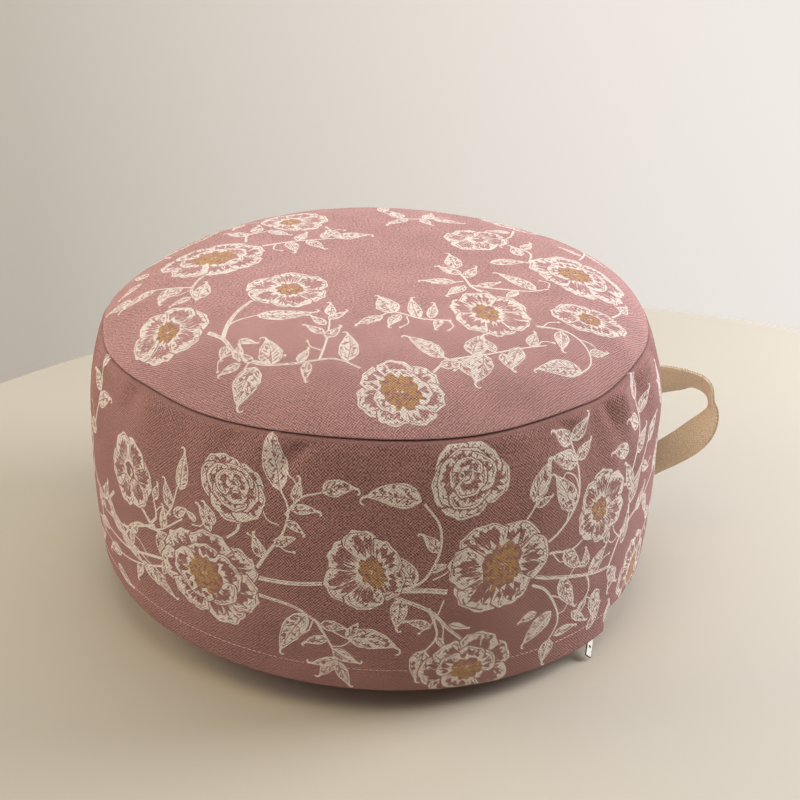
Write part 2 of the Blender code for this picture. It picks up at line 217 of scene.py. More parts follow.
def cutPanel(outline, inside, chains, ink):
    # triangles of a flat panel that follow every edge of the print, with the ink each one lies in
    points, edges = [Vector(p) for p in inside], []
    shapes = [(outline, True)] + [(chain, False) for chain in chains] + [(shape, True) for kind, shape in ink]
    for shape, closed in shapes:
        first = len(points)
        points += [Vector(p) for p in shape]
        edges += [(k, k + 1) for k in range(first, len(points) - 1)]
        if closed:
            edges.append((len(points) - 1, first))
    made = geometry.delaunay_2d_cdt(points, edges, [], 0, 1e-5)
    flat = np.array([tuple(p) for p in made[0]])
    corners = np.array(made[2])
    middles = flat[corners].mean(axis=1)
    order = np.argsort(middles[:, 0])
    x, y = middles[order].T
    inks = np.zeros(len(corners), dtype=int)
    for kind, shape in ink:
        xs, ys = [p[0] for p in shape], [p[1] for p in shape]
        low, high = np.searchsorted(x, (min(xs), max(xs)))
        near = order[low:high][(y[low:high] >= min(ys)) & (y[low:high] <= max(ys))]
        hit = near[insideShape(shape, middles[near, 0], middles[near, 1])]
        inks[hit] = inkSlots[kind]
    return flat, corners, inks


def addPiece(name, mesh):
    piece = bpy.data.objects.new(name, mesh)
    bpy.context.scene.collection.objects.link(piece)
    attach(piece, "root")
    return piece


def flatMesh(work, name, material):
    mesh = bpy.data.meshes.new(name)
    work.to_mesh(mesh)
    work.free()
    mesh.materials.append(material)
    return mesh


def smoothMesh(work, name, material, sharp=None):
    # edges steeper than sharp degrees stay hard
    mesh = flatMesh(work, name, material)
    mesh.shade_smooth()
    if sharp:
        mesh.set_sharp_from_angle(angle=math.radians(sharp))
    return mesh


def makePanel(name, places, normals, uvs, corners, inks, materials):
    # corners that meet in one place become one, and triangles that vanish are left out
    keys = {}
    rounded = np.round(places * 1e7).astype(np.int64)
    joined = np.array([keys.setdefault(tuple(key), len(keys)) for key in rounded])
    firsts = np.unique(joined, return_index=True)[1]
    faces = joined[corners]
    full = (faces[:, 0] != faces[:, 1]) & (faces[:, 1] != faces[:, 2]) & (faces[:, 2] != faces[:, 0])
    faces, corners, inks = faces[full], corners[full], inks[full]
    mesh = bpy.data.meshes.new(name)
    mesh.from_pydata(places[firsts].tolist(), [], faces.tolist())
    for material in materials:
        mesh.materials.append(material)
    mesh.polygons.foreach_set("material_index", inks.astype(np.int32))
    layer = mesh.uv_layers.new(name="cloth")
    layer.data.foreach_set("uv", uvs[corners.reshape(-1)].astype(np.float32).reshape(-1))
    mesh.shade_smooth()
    summed = np.zeros((len(firsts), 3))
    np.add.at(summed, joined, normals)
    summed /= np.maximum(np.linalg.norm(summed, axis=1, keepdims=True), 1e-9)
    mesh.normals_split_custom_set_from_vertices(summed.tolist())
    mesh.validate()
    return addPiece(name, mesh)


def smoothLine(points, step=2.0):
    # a Catmull-Rom line through the points, about one point every step
    ends = [tuple(2 * a - b for a, b in zip(points[0], points[1]))] + [tuple(p) for p in points]
    ends.append(tuple(2 * a - b for a, b in zip(points[-1], points[-2])))
    line = []
    for before, here, there, after in zip(ends, ends[1:], ends[2:], ends[3:]):
        count = max(2, round(math.dist(here[:2], there[:2]) / step))
        for k in range(count):
            s = k / count
            line.append(tuple(
                0.5 * (2 * b + (c - a) * s + (2 * a - 5 * b + 4 * c - d) * s * s
                       + (3 * b - a - 3 * c + d) * s ** 3)
                for a, b, c, d in zip(before, here, there, after)))
    line.append(tuple(points[-1]))
    return line


def stroke(points, wide, tip, step=2.4):
    # a line of ink that goes from wide to tip
    line = smoothLine(points, step)
    left, right = [], []
    for k, (x, y) in enumerate(line):
        x0, y0 = line[max(k - 1, 0)]
        x1, y1 = line[min(k + 1, len(line) - 1)]
        along = math.hypot(x1 - x0, y1 - y0) or 1.0
        half = 0.5 * (wide + (tip - wide) * k / (len(line) - 1))
        left.append((x - half * (y1 - y0) / along, y + half * (x1 - x0) / along))
        right.append((x + half * (y1 - y0) / along, y - half * (x1 - x0) / along))
    return left + right[::-1]


def placeOn(at, turn, u, v):
    # u and v along a flower's own axes, turned and moved to its place on the cloth
    return (at[0] + u * math.cos(turn) - v * math.sin(turn), at[1] + u * math.sin(turn) + v * math.cos(turn))


def blob(at, across, down, turn, count, rough, rng):
    # a round patch with an uneven edge
    ring = []
    for k in range(count):
        a = 2 * math.pi * k / count
        r = 0.5 * (1 + rough * rng.uniform(-1, 1))
        ring.append(placeOn(at, turn, r * across * math.cos(a), r * down * math.sin(a)))
    return ring


def drawVine(ink, wide, tip, points):
    # a stem; a stout one has a bare line along it, broken here and there
    rng = random.Random(round(points[0][0] * 7 + points[-1][1]))
    ink.append(("cream", stroke(points, wide, tip)))
    if wide < 2.4:
        return
    line = smoothLine(points, 2.2)
    k = 1
    while k < len(line) - 3:
        run = rng.choice((2, 3, 4))
        part = line[k:k + run + 1]
        if len(part) > 1 and 0.5 * (wide + tip) > 1.9:
            lift = rng.uniform(-0.15, 0.35) * tip
            ink.append(("cloth", stroke([(x, y + lift) for x, y in part], 0.55, 0.35, 3.0)))
        k += run + 1


def drawTendril(ink, points):
    # a thin curl with a bead at its end
    wide = 1.1
    line = smoothLine(points, 1.8)
    ink.append(("cream", stroke(points, wide, 0.8 * wide, 1.8)))
    end = blob(line[-1], 2.2 * wide, 2.2 * wide, 0.0, 7, 0.1, random.Random(len(ink)))
    ink.append(("cream", end))


def drawLeaf(ink, x, y, length, width, turn, bend, curl, seed):
    # it starts at x and y and points to turn; its middle line bends by bend degrees, and curl is the
    # hooked tip's length
    rng = random.Random(seed)

    def place(u, v):
        # u along the middle line, v across it, both in millimetres
        way = math.radians(turn + bend * (u / length - 0.5))
        chord = math.radians(turn + 0.5 * bend * (u / length - 1.0))
        along, up = x + u * math.cos(chord), y + u * math.sin(chord)
        return (along - v * math.sin(way), up + v * math.cos(way))

    def half(s):
        return 0.5 * width * math.sin(math.pi * s ** 0.80) ** 0.80 * (1.10 - 0.28 * s)

    steps = max(6, round(length / 3.2))
    edge = [k / steps for k in range(steps + 1)]
    upper = [place(length * s, half(s) * (1 + 0.07 * rng.uniform(-1, 1))) for s in edge]
    lower = [place(length * s, -half(s) * (1 + 0.07 * rng.uniform(-1, 1))) for s in edge[1:-1]]
    ink.append(("cream", upper + lower[::-1]))
    if width > 6:
        within = [s for s in edge if half(s) > 1.3]
        ink.append(("hatched", [place(length * s, half(s) - 0.95) for s in within]
                    + [place(length * s, 0.95 - half(s)) for s in within[::-1]]))
    if curl:
        side = 1 if bend >= 0 else -1
        bends = ((0.30, 0.06), (0.55, 0.42), (0.34, 0.72))
        hook = [place(length * 0.90, 0.0)] + [place(length + u * curl, v * side * curl) for u, v in bends]
        ink.append(("cream", stroke(hook, 2.0, 1.0, 1.6)))
    # bare middle rib, bare line inside the edge and short slits between the veins
    sway = rng.uniform(-0.10, 0.10) * width
    rib = [place(length * s, sway * math.sin(math.pi * s)) for s in (0.06, 0.30, 0.56, 0.84)]
    ink.append(("cloth", stroke(rib, 0.75, 0.40, 4.0)))
    openSide = rng.choice((-1, 0, 1, 2))
    for side in (1, -1):
        start, end = (0.16, 0.50) if rng.random() < 0.5 else (0.42, 0.84)
        inner = [place(length * s, side * (half(s) - 1.1)) for s in (start, 0.5 * (start + end), end)]
        if width > 8:
            ink.append(("cloth", stroke(inner, 0.50, 0.35, 4.0)))
        count = max(3, round(length / 4.5))
        for k in range(count):
            s = 0.10 + 0.72 * (k + rng.uniform(0.1, 0.5)) / count
            if half(s) < 1.6 or rng.random() < 0.12:
                continue
            lean = (0.55 * half(s) + 1.2) / length
            low, high = (0.14, 0.58) if k % 2 else (0.34, 0.80)
            wide = 0.8
            if openSide in (side, 2):
                low, high, wide = 0.12, 0.78, 1.7
            wide *= rng.uniform(0.7, 1.3)
            root = low * half(s) * side
            tip = high * rng.uniform(0.85, 1.1) * half(min(s + lean, 0.97)) * side
            middle, level = length * (s + 0.5 * lean), 0.5 * (root + tip)
            ink.append(("cloth", [place(length * s, root), place(middle + 0.5 * wide, level),
                                  place(length * (s + lean), tip), place(middle - 0.5 * wide, level)]))


def drawPetal(ink, place, unit, middle, spread, inner, outer, seed, fold, ray):
    # place turns an angle and a share of the flower's radius into millimetres; unit is that radius,
    # fold is how much of the petal is bare and ray how far ink runs out from the flower's middle
    rng = random.Random(seed)
    scallops, phase = rng.choice((2.4, 3.1, 3.8)), rng.uniform(0.0, 2.0)
    uneven = [rng.uniform(-0.016, 0.016) for _ in range(15)]

    def rim(v):
        k = min(int((v + 1) * 7), 14)
        wave = 0.024 * math.sin((v * scallops + phase) * math.pi)
        return outer * (1.0 - 0.17 * abs(v) ** 2.6 + wave) + uneven[k]

    def at(v, share):
        return place(middle + spread * v, share)

    line = 1.0 / unit
    steps = [-1 + 2 * k / 11 for k in range(12)]
    foot = inner * 0.8
    # a bare line parts it from what lies behind
    grown = [at(-0.62, foot), at(-1.05, 0.6 * rim(-1))] + [at(1.05 * v, rim(v) + 0.8 * line) for v in steps]
    ink.append(("cloth", grown + [at(1.05, 0.6 * rim(1)), at(0.62, foot)]))
    shape = [at(-0.55, foot), at(-0.97, 0.6 * rim(-1))] + [at(v, rim(v)) for v in steps]
    ink.append(("cream", shape + [at(0.97, 0.6 * rim(1)), at(0.55, foot)]))
    ink.append(("hatched", [at(-0.45, foot), at(-0.85, 0.6 * rim(-1))]
                + [at(0.92 * v, rim(v) - (1.5 + 0.5 * (k % 2)) * line) for k, v in enumerate(steps)]
                + [at(0.85, 0.6 * rim(1)), at(0.45, foot)]))
    # bare line that follows the rim, in one or two runs
    cut = rng.uniform(-0.6, 0.6)
    for low, high in ((-0.92, cut - 0.10), (cut + 0.10, 0.92)):
        if high - low < 0.5 or rng.random() < 0.25:
            continue
        run = [low + (high - low) * k / 4 for k in range(5)]
        ink.append(("cloth", [at(v, rim(v) - 1.15 * line) for v in run]
                    + [at(v, rim(v) - 1.70 * line) for v in run[::-1]]))
    # bare body of the petal, ragged towards the rim and towards the flower's middle
    depth = outer - inner
    rimBand = max(1.9 * line, depth * rng.uniform(0.09, 0.20))
    low, high = rng.choice(((-0.88, 0.86), (-0.90, 0.60), (-0.60, 0.90), (-0.86, 0.88)))
    count = 13
    upper, lower = [], []
    for k in range(count):
        v = low + (high - low) * k / (count - 1)
        side = 1 - math.sin(math.pi * (0.10 + 0.80 * k / (count - 1)))
        tooth = depth * (0.30 * rng.uniform(0.15, 1.0) if k % 2 else 0.04 * rng.random())
        far = max(inner + 0.02, rim(v) - rimBand - 0.22 * depth * side - tooth)
        rise = ray * rng.uniform(0.4, 1.3) if k % 2 else 0.02
        near = inner + depth * rise
        upper.append(at(v, far))
        lower.append(at(0.86 * v, far - fold * (far - near)))
    ink.append(("cloth", upper + lower[::-1]))
    # flecks of ink in it and slits in the rim
    for _ in range(2):
        v, share = rng.uniform(0.8 * low, 0.8 * high), inner + depth * rng.uniform(0.30, 0.62)
        tall, wide = depth * rng.uniform(0.07, 0.20), 0.7 * line * rng.uniform(0.7, 1.6)
        lean = rng.uniform(-0.12, 0.12)
        across = middle + spread * (v + lean)
        ink.append(("cream", [at(v, share - tall), place(across + wide, share),
                              at(v + 2 * lean, share + tall), place(across - wide, share)]))
    v = rng.uniform(-0.7, 0.7)
    high, wide = rim(v) - 2.0 * line, 0.40 * line
    across, level = middle + spread * v, high - 0.5 * rimBand
    ink.append(("cloth", [at(v, high), place(across + wide, level),
                          at(v, high - 1.1 * rimBand), place(across - wide, level)]))


def drawRose(ink, x, y, wide, tall, turn, petals, ochre, off, seed):
    # an open rose: rings of overlapping scalloped petals round an ochre or bare middle, off the flower's
    # own middle by off
    rng = random.Random(seed)
    lean = math.radians(turn)
    unit = 0.25 * (wide + tall)
    swing, sway = rng.uniform(0, 6.3), rng.uniform(0, 6.3)

    def place(angle, share):
        # the rings keep to the flower's middle at the rim and to its centre near it
        stay = 1.0 - min(share, 1.0)
        share = share * (1 + 0.035 * math.sin(2 * angle + swing) + 0.035 * math.sin(3 * angle + sway))
        at = (x + off[0] * stay, y + off[1] * stay)
        return placeOn(at, lean, 0.5 * wide * share * math.cos(angle), 0.5 * tall * share * math.sin(angle))

    # a flower of seven petals has a second ring of them
    rings, ray = [(petals, 0.30, 1.00)], 0.50
    if petals > 6:
        rings, ray = [(petals, 0.36, 1.00), (petals - 2, 0.34, 0.66)], 0.26
    for ring, (count, inner, outer) in enumerate(rings):
        start = rng.uniform(0, 2 * math.pi)
        order = list(range(count))
        rng.shuffle(order)
        for k in order:
            if ring and rng.random() < 0.25:
                continue
            middle = start + 2 * math.pi * (k + rng.uniform(-0.10, 0.10)) / count
            drawPetal(ink, place, unit, middle, math.pi / count * rng.uniform(1.10, 1.30), inner,
                      outer * rng.uniform(0.93, 1.02), seed * 100 + ring * 20 + k, 1.0, ray)
    if ochre:
        drawHeart(ink, place(0.0, 0.0), ochre, lean, rng)
        return
    for k in range(3):
        angle = rng.uniform(0, 2 * math.pi)
        ring = [place(angle + 2.3 * j / 6, 0.30 - 0.08 * k + 0.02 * (j % 2)) for j in range(7)]
        back = [place(angle + 2.3 * j / 6, 0.24 - 0.08 * k) for j in range(6, -1, -1)]
        ink.append(("cream", ring + back))


def drawHeart(ink, heart, size, lean, rng):
    # cream stamens in a star, and a patch of ochre on them with bare spots and cream specks
    across, down = size
    spikes = []
    for k in range(36):
        a = 2 * math.pi * (k + rng.uniform(-0.25, 0.25)) / 36
        r = (0.64 if k % 2 else 0.46) * rng.uniform(0.86, 1.18)
        spikes.append(placeOn(heart, lean, r * (across + 4) * math.cos(a), r * (down + 4) * math.sin(a)))
    ink.append(("cream", spikes))
    ink.append(("cloth", blob(heart, 1.06 * across, 1.06 * down, lean, 26, 0.22, rng)))
    ink.append(("ochre", blob(heart, across, down, lean, 40, 0.30, rng)))
    for k in range(9):
        spot = (heart[0] + rng.uniform(-0.34, 0.34) * across, heart[1] + rng.uniform(-0.34, 0.34) * down)
        wide, tall, way = rng.uniform(0.8, 2.6), rng.uniform(0.8, 1.8), rng.uniform(0, 3)
        ink.append(("cloth", blob(spot, wide, tall, way, 6, 0.3, rng)))
    for k in range(5):
        spot = (heart[0] + rng.uniform(-2.0, 2.0), heart[1] + rng.uniform(-2.0, 2.0))
        wide, tall, way = rng.uniform(0.9, 1.5), rng.uniform(0.7, 1.1), rng.uniform(0, 3)
        ink.append(("cream", blob(spot, wide, tall, way, 5, 0.3, rng)))


def drawFullRose(ink, x, y, wide, tall, turn, seed):
    # a full rose seen from the side: wrapped petals, mostly ink, with bare ragged folds and thin bare lines
    rng = random.Random(seed)
    lean = math.radians(turn)
    unit = 0.25 * (wide + tall)
    swing, sway = rng.uniform(0, 6.3), rng.uniform(0, 6.3)

    def place(angle, share):
        off = 0.22 * (1 - min(share, 1.0))
        bent = share * (1 + 0.05 * math.sin(2 * angle + swing)
                        + 0.045 * math.sin(3 * angle + sway + 2 * share))
        u, v = 0.5 * wide * bent * math.cos(angle), 0.5 * tall * (bent * math.sin(angle) + off)
        return placeOn((x, y), lean, u, v)

    for ring, (count, inner, outer) in enumerate(((5, 0.30, 1.00), (4, 0.24, 0.76), (3, 0.10, 0.50))):
        start = rng.uniform(0, 2 * math.pi)
        for k in range(count):
            middle = start + 2 * math.pi * (k + rng.uniform(-0.15, 0.15)) / count
            drawPetal(ink, place, unit, middle, math.pi / count * rng.uniform(1.20, 1.50), inner,
                      outer * rng.uniform(0.90, 1.04), seed * 100 + ring * 20 + k, 0.55, 0.10)
    for k in range(2):
        angle = rng.uniform(0, 2 * math.pi)
        line = [place(angle + 0.7 * j, 0.26 - 0.08 * k - 0.02 * j) for j in range(6)]
        ink.append(("cloth", stroke(line, 0.9, 0.5, 3.0)))


# The print as it lies on the cloth, in flat millimetres.
# roses: x, y, width, height, turn, petals, width and height of the ochre middle, its offset
# full roses: x, y, width, height, turn
# vines: width at the root, width at the tip, points
# leaves: x, y, length, width, way, bend, curl
# tendrils: points

# x round the band from the front, y up from the hem's edge
bandPrint = {
    "roses": (
        (-137, 70, 82, 74, 10, 7, (25, 25), (-4, 0)), (-29, 98, 54, 60, 15, 6, (16, 22), (6, 0)),
        (61, 97, 75, 72, -10, 6, (25, 32), (3, 0)), (152, 118, 52, 60, 20, 6, (15, 17), (-5, -2)),
        (43, 17, 66, 60, 0, 7, (22, 16), (0, -1)), (210, 40, 50, 60, 0, 6, (17, 22), (2, -2)),
        (-214, 117, 52, 54, 0, 6, None, (0, 0)), (285, 118, 72, 66, 30, 7, (24, 24), (0, 0)),
    ),
    "fullRoses": (
        (-118, 141, 48, 46, -20), (39, 162, 56, 54, 10),
    ),
    "vines": (
        (2.6, 3.4, ((-204, 98), (-196, 92), (-188, 86), (-172, 84))),
        (2.2, 1.4, ((-190, 88), (-184, 96), (-186, 108))),
        (2.4, 1.2, ((-174, 66), (-196, 60), (-222, 52), (-256, 50))),
        (2.0, 1.0, ((-186, 88), (-206, 78), (-226, 68), (-262, 62))),
        (1.8, 0.9, ((-176, 60), (-204, 48), (-236, 40), (-268, 40))),
        (1.6, 1.0, ((-176, 98), (-168, 110), (-162, 128))),
        (2.2, 1.6, ((-112, 120), (-114, 112), (-122, 104))), (3.4, 2.8, ((-106, 80), (-76, 82), (-54, 86))),
        (2.4, 1.2, ((-100, 88), (-92, 102), (-82, 118), (-78, 136), (-84, 150))),
        (1.8, 1.0, ((-80, 132), (-70, 146), (-56, 152))),
        (2.6, 1.4, ((-108, 68), (-76, 64), (-58, 54), (-40, 44))),
        (2.0, 1.2, ((-60, 55), (-52, 40), (-46, 26))), (3.2, 4.2, ((-10, 84), (12, 84), (26, 82))),
        (2.0, 1.6, ((-6, 84), (10, 92), (20, 112), (20, 132), (10, 148))),
        (3.0, 2.2, ((-10, 80), (14, 68), (28, 52), (40, 40))), (2.0, 1.2, ((14, 70), (20, 48), (12, 34))),
        (1.8, 1.2, ((74, 120), (88, 138), (86, 148))),
        (2.2, 1.4, ((168, 126), (190, 120), (204, 126), (220, 140))),
        (2.2, 1.2, ((186, 122), (196, 140), (206, 158), (204, 178))),
        (2.4, 1.6, ((176, 86), (196, 92), (222, 100), (250, 108))),
        (2.2, 1.4, ((226, 60), (246, 72), (266, 90))), (2.0, 1.2, ((310, 110), (330, 100), (340, 88))),
        (3.0, 2.4, ((-296, 82), (-276, 72), (-256, 74), (-240, 88))),
        (2.0, 1.2, ((340, 88), (352, 66), (350, 44))),
        (3.0, 2.2, ((86, 84), (98, 79), (112, 75), (129, 70), (148, 65), (167, 62))),
        (2.4, 1.2, ((165, 62), (173, 77), (185, 96), (190, 116))),
        (2.4, 1.2, ((88, 76), (100, 68), (111, 50), (114, 36), (107, 21))),
        (2.0, 1.2, ((138, 68), (142, 60), (143, 52), (138, 43))),
        (2.2, 1.4, ((90, 96), (104, 97), (120, 94), (134, 100))),
        (2.2, 1.4, ((88, 104), (102, 108), (114, 117), (124, 131), (126, 146), (125, 159), (120, 180))),
        (1.8, 1.0, ((-230, 56), (-212, 58), (-194, 53), (-178, 49))),
        (1.8, 1.2, ((-230, 56), (-209, 79), (-183, 86), (-158, 105))),
    ),
    "leaves": (
        (-160, 126, 28, 11, 84, 10, 5), (-170, 108, 20, 10, 100, 0, 4), (-166, 104, 16, 8, 40, -20, 0),
        (-186, 108, 14, 7, 70, 0, 3), (-222, 52, 22, 9, 130, 30, 4), (-240, 66, 26, 9, 150, 30, 5),
        (-206, 78, 20, 8, 210, -30, 4), (-236, 40, 26, 10, 200, 30, 5), (-262, 62, 24, 10, 150, 40, 6),
        (-256, 50, 24, 9, 190, 20, 4), (-204, 48, 18, 8, 240, 20, 3), (-216, 58, 16, 7, 80, -20, 3),
        (-268, 40, 20, 8, 170, 30, 4), (-180, 86, 14, 7, 330, 0, 3), (-176, 64, 14, 7, 250, 0, 0),
        (-84, 148, 42, 17, 102, -16, 7), (-56, 152, 22, 12, 14, -40, 6), (-74, 142, 16, 8, 78, 0, 4),
        (-76, 136, 18, 8, 8, -30, 4), (-96, 96, 18, 9, 110, -10, 3), (-88, 108, 18, 8, 30, -20, 0),
        (-80, 128, 14, 7, -30, -20, 3), (-134, 104, 20, 8, 120, 10, 3), (-146, 108, 10, 6, 150, 0, 0),
        (-66, 60, 40, 15, 240, 20, 5), (-58, 52, 18, 9, 0, -30, 4), (-40, 44, 34, 17, -10, -50, 8),
        (-50, 34, 20, 10, 330, 10, 4), (-48, 28, 22, 10, 240, -10, 4), (-46, 24, 22, 9, 290, 10, 3),
        (-52, 42, 18, 8, 200, 20, 4), (-46, 26, 20, 8, 200, -20, 4), (-40, 44, 16, 7, 60, 0, 0),
        (8, 150, 36, 17, 176, 40, 8), (20, 112, 18, 9, 128, 20, 4), (4, 88, 26, 13, 118, 10, 5),
        (14, 98, 14, 6, 20, -30, 2), (16, 54, 18, 8, 160, 20, 3), (-4, 78, 24, 12, 262, 10, 5),
        (12, 36, 26, 14, 258, 20, 6), (20, 46, 12, 5, 300, 0, 2), (28, 56, 14, 6, 340, 0, 2),
        (88, 136, 14, 7, 20, 0, 2), (184, 146, 24, 12, 160, 10, 4), (196, 140, 24, 12, 30, 10, 4),
        (204, 158, 24, 12, 150, 10, 5), (206, 166, 22, 10, 30, 10, 4), (204, 176, 26, 12, 96, 10, 4),
        (220, 138, 24, 12, 40, -10, 4), (206, 126, 18, 9, 330, 0, 3), (200, 92, 22, 10, 40, 10, 4),
        (216, 98, 22, 10, 300, 10, 4), (240, 104, 22, 10, 70, 10, 4), (240, 68, 20, 10, 140, 10, 4),
        (248, 74, 24, 11, 300, 10, 4), (176, 8, 20, 9, 90, 10, 4), (150, 14, 22, 10, 60, 10, 4),
        (244, 20, 26, 12, 40, 10, 5), (252, 40, 24, 11, 20, 10, 4), (262, 150, 26, 12, 120, 10, 4),
        (250, 160, 24, 12, 60, 10, 4), (334, 96, 22, 10, 20, 10, 4), (340, 86, 24, 11, 260, 10, 4),
        (348, 60, 24, 11, 200, 10, 4), (350, 46, 26, 12, 270, 10, 5), (300, 68, 26, 12, 260, 10, 5),
        (286, 60, 24, 11, 220, 10, 4), (310, 160, 26, 12, 60, 10, 5), (296, 164, 24, 11, 120, 10, 4),
        (286, 22, 24, 12, 30, 10, 4), (324, 24, 24, 12, 140, 10, 4), (-262, 72, 20, 10, 60, 10, 3),
        (-276, 72, 22, 10, 280, 10, 4), (-300, 24, 26, 12, 20, 20, 5), (-310, 34, 24, 11, 80, 0, 4),
        (86, 140, 30, 15, 60, -10, 5), (120, 124, 34, 17, 117, 16, 6), (114, 96, 26, 12, 312, 20, 4),
        (94, 52, 15, 8, 198, 10, 2), (107, 49, 31, 14, 225, 10, 5), (109, 24, 20, 13, 259, 10, 4),
        (112, 26, 22, 8, 2, -20, 3), (112, 74, 33, 13, 300, 10, 4), (152, 50, 26, 14, 276, 10, 4),
        (140, 68, 24, 11, 40, 10, 4), (165, 62, 24, 10, 308, 10, 3), (180, 74, 28, 10, 74, 10, 4),
        (160, 84, 16, 8, 110, 10, 3), (126, 158, 26, 14, 158, 10, 5), (122, 172, 20, 12, 142, 10, 4),
        (125, 160, 18, 10, 30, 10, 3), (122, 174, 22, 11, 34, 10, 4), (127, 41, 24, 8, 320, 10, 3),
        (136, 74, 16, 8, 92, 10, 2), (188, 104, 24, 11, 50, 10, 4), (190, 114, 26, 12, 112, 10, 4),
        (176, 58, 20, 10, 250, 10, 4), (142, 46, 16, 8, 230, 10, 2), (-178, 88, 19, 8, 85, 12, 3),
        (-225, 59, 24, 8, 337, 12, 3), (-183, 84, 25, 9, 287, 12, 3), (-194, 53, 29, 10, 326, 12, 4),
        (-203, 52, 19, 8, 322, 12, 3), (-249, 24, 25, 9, 343, 12, 4), (-232, 59, 18, 7, 155, 12, 3),
        (-132, 110, 16, 9, 116, 12, 3),
    ),
    "tendrils": (
        ((-184, 100), (-178, 106), (-170, 104)), ((-150, 104), (-142, 106), (-140, 112)),
        ((-92, 100), (-98, 108), (-106, 112)), ((-88, 112), (-80, 106), (-74, 106)),
        ((-84, 124), (-92, 126), (-96, 134)), ((-72, 148), (-74, 156), (-80, 160)),
        ((16, 92), (24, 96), (28, 100)), ((24, 76), (18, 60), (8, 50)), ((18, 66), (24, 54), (24, 44)),
        ((158, 88), (166, 82), (174, 84)), ((190, 120), (186, 110), (190, 104)),
        ((210, 128), (218, 120), (228, 122)), ((232, 64), (240, 56), (250, 58)),
        ((-196, 58), (-204, 66), (-214, 68)), ((-236, 66), (-246, 74), (-256, 76)),
        ((-62, 56), (-66, 46), (-74, 42)), ((-50, 36), (-42, 38), (-36, 44)),
        ((334, 96), (344, 100), (350, 96)), ((262, 86), (266, 78), (274, 76)),
        ((300, 152), (306, 146), (314, 148)), ((125, 140), (122, 149), (114, 154), (110, 150)),
        ((114, 117), (116, 126), (110, 130)), ((106, 62), (114, 58), (120, 61)),
        ((104, 96), (110, 88), (116, 87)), ((112, 44), (119, 45), (122, 50)),
        ((150, 65), (156, 73), (164, 74)), ((120, 72), (126, 79), (133, 80)),
        ((176, 82), (168, 90), (165, 97)), ((140, 48), (148, 44), (154, 47)),
        ((124, 130), (118, 134), (112, 133)),
    ),
}

# what the cloth repeats round the back
backPrint = {
    "roses": (
        (-330, 92, 76, 72, 40, 7, (24, 27), (0, 0)), (-425, 60, 60, 60, 10, 6, (18, 20), (0, 0)),
    ),
    "fullRoses": (
        (-395, 140, 46, 46, 30),
    ),
    "vines": (
        (2.2, 1.2, ((-290, 110), (-276, 130), (-270, 150), (-276, 168))),
        (2.8, 2.2, ((-366, 84), (-384, 76), (-396, 66))), (2.2, 1.4, ((-360, 116), (-374, 128), (-386, 134))),
        (2.2, 1.2, ((-350, 60), (-344, 40), (-352, 22))), (3.0, 2.4, ((-450, 66), (-470, 78), (-500, 92))),
        (2.2, 1.2, ((-432, 90), (-444, 112), (-442, 134), (-450, 152))),
        (2.2, 1.2, ((-440, 34), (-460, 24), (-484, 26))),
    ),
    "leaves": (
        (-276, 120, 26, 12, 200, 20, 4), (-272, 142, 26, 12, 30, -20, 5), (-270, 152, 22, 10, 160, 20, 4),
        (-276, 166, 24, 12, 96, 10, 5), (-352, 24, 26, 12, 280, 10, 4), (-346, 44, 24, 11, 330, 10, 4),
        (-348, 40, 24, 11, 200, 10, 4), (-352, 134, 24, 11, 100, 0, 4), (-372, 126, 20, 10, 210, 0, 4),
        (-384, 76, 20, 10, 260, 0, 3), (-380, 20, 26, 12, 30, 20, 4), (-400, 22, 26, 12, 140, 10, 4),
        (-442, 112, 24, 11, 20, -10, 4), (-442, 128, 24, 11, 150, 10, 4), (-448, 148, 28, 13, 100, -10, 5),
        (-446, 142, 22, 10, 30, 0, 4), (-468, 76, 20, 10, 280, 0, 4), (-460, 24, 22, 10, 130, 10, 4),
        (-470, 24, 22, 10, 250, 10, 3), (-484, 26, 26, 12, 170, 20, 5),
    ),
    "tendrils": (
        ((-282, 124), (-290, 132), (-298, 132)), ((-344, 50), (-336, 44), (-330, 46)),
        ((-380, 80), (-388, 88), (-396, 86)), ((-438, 100), (-446, 100), (-454, 106)),
    ),
}
backRepeat = {"length": 205.0, "count": 4}

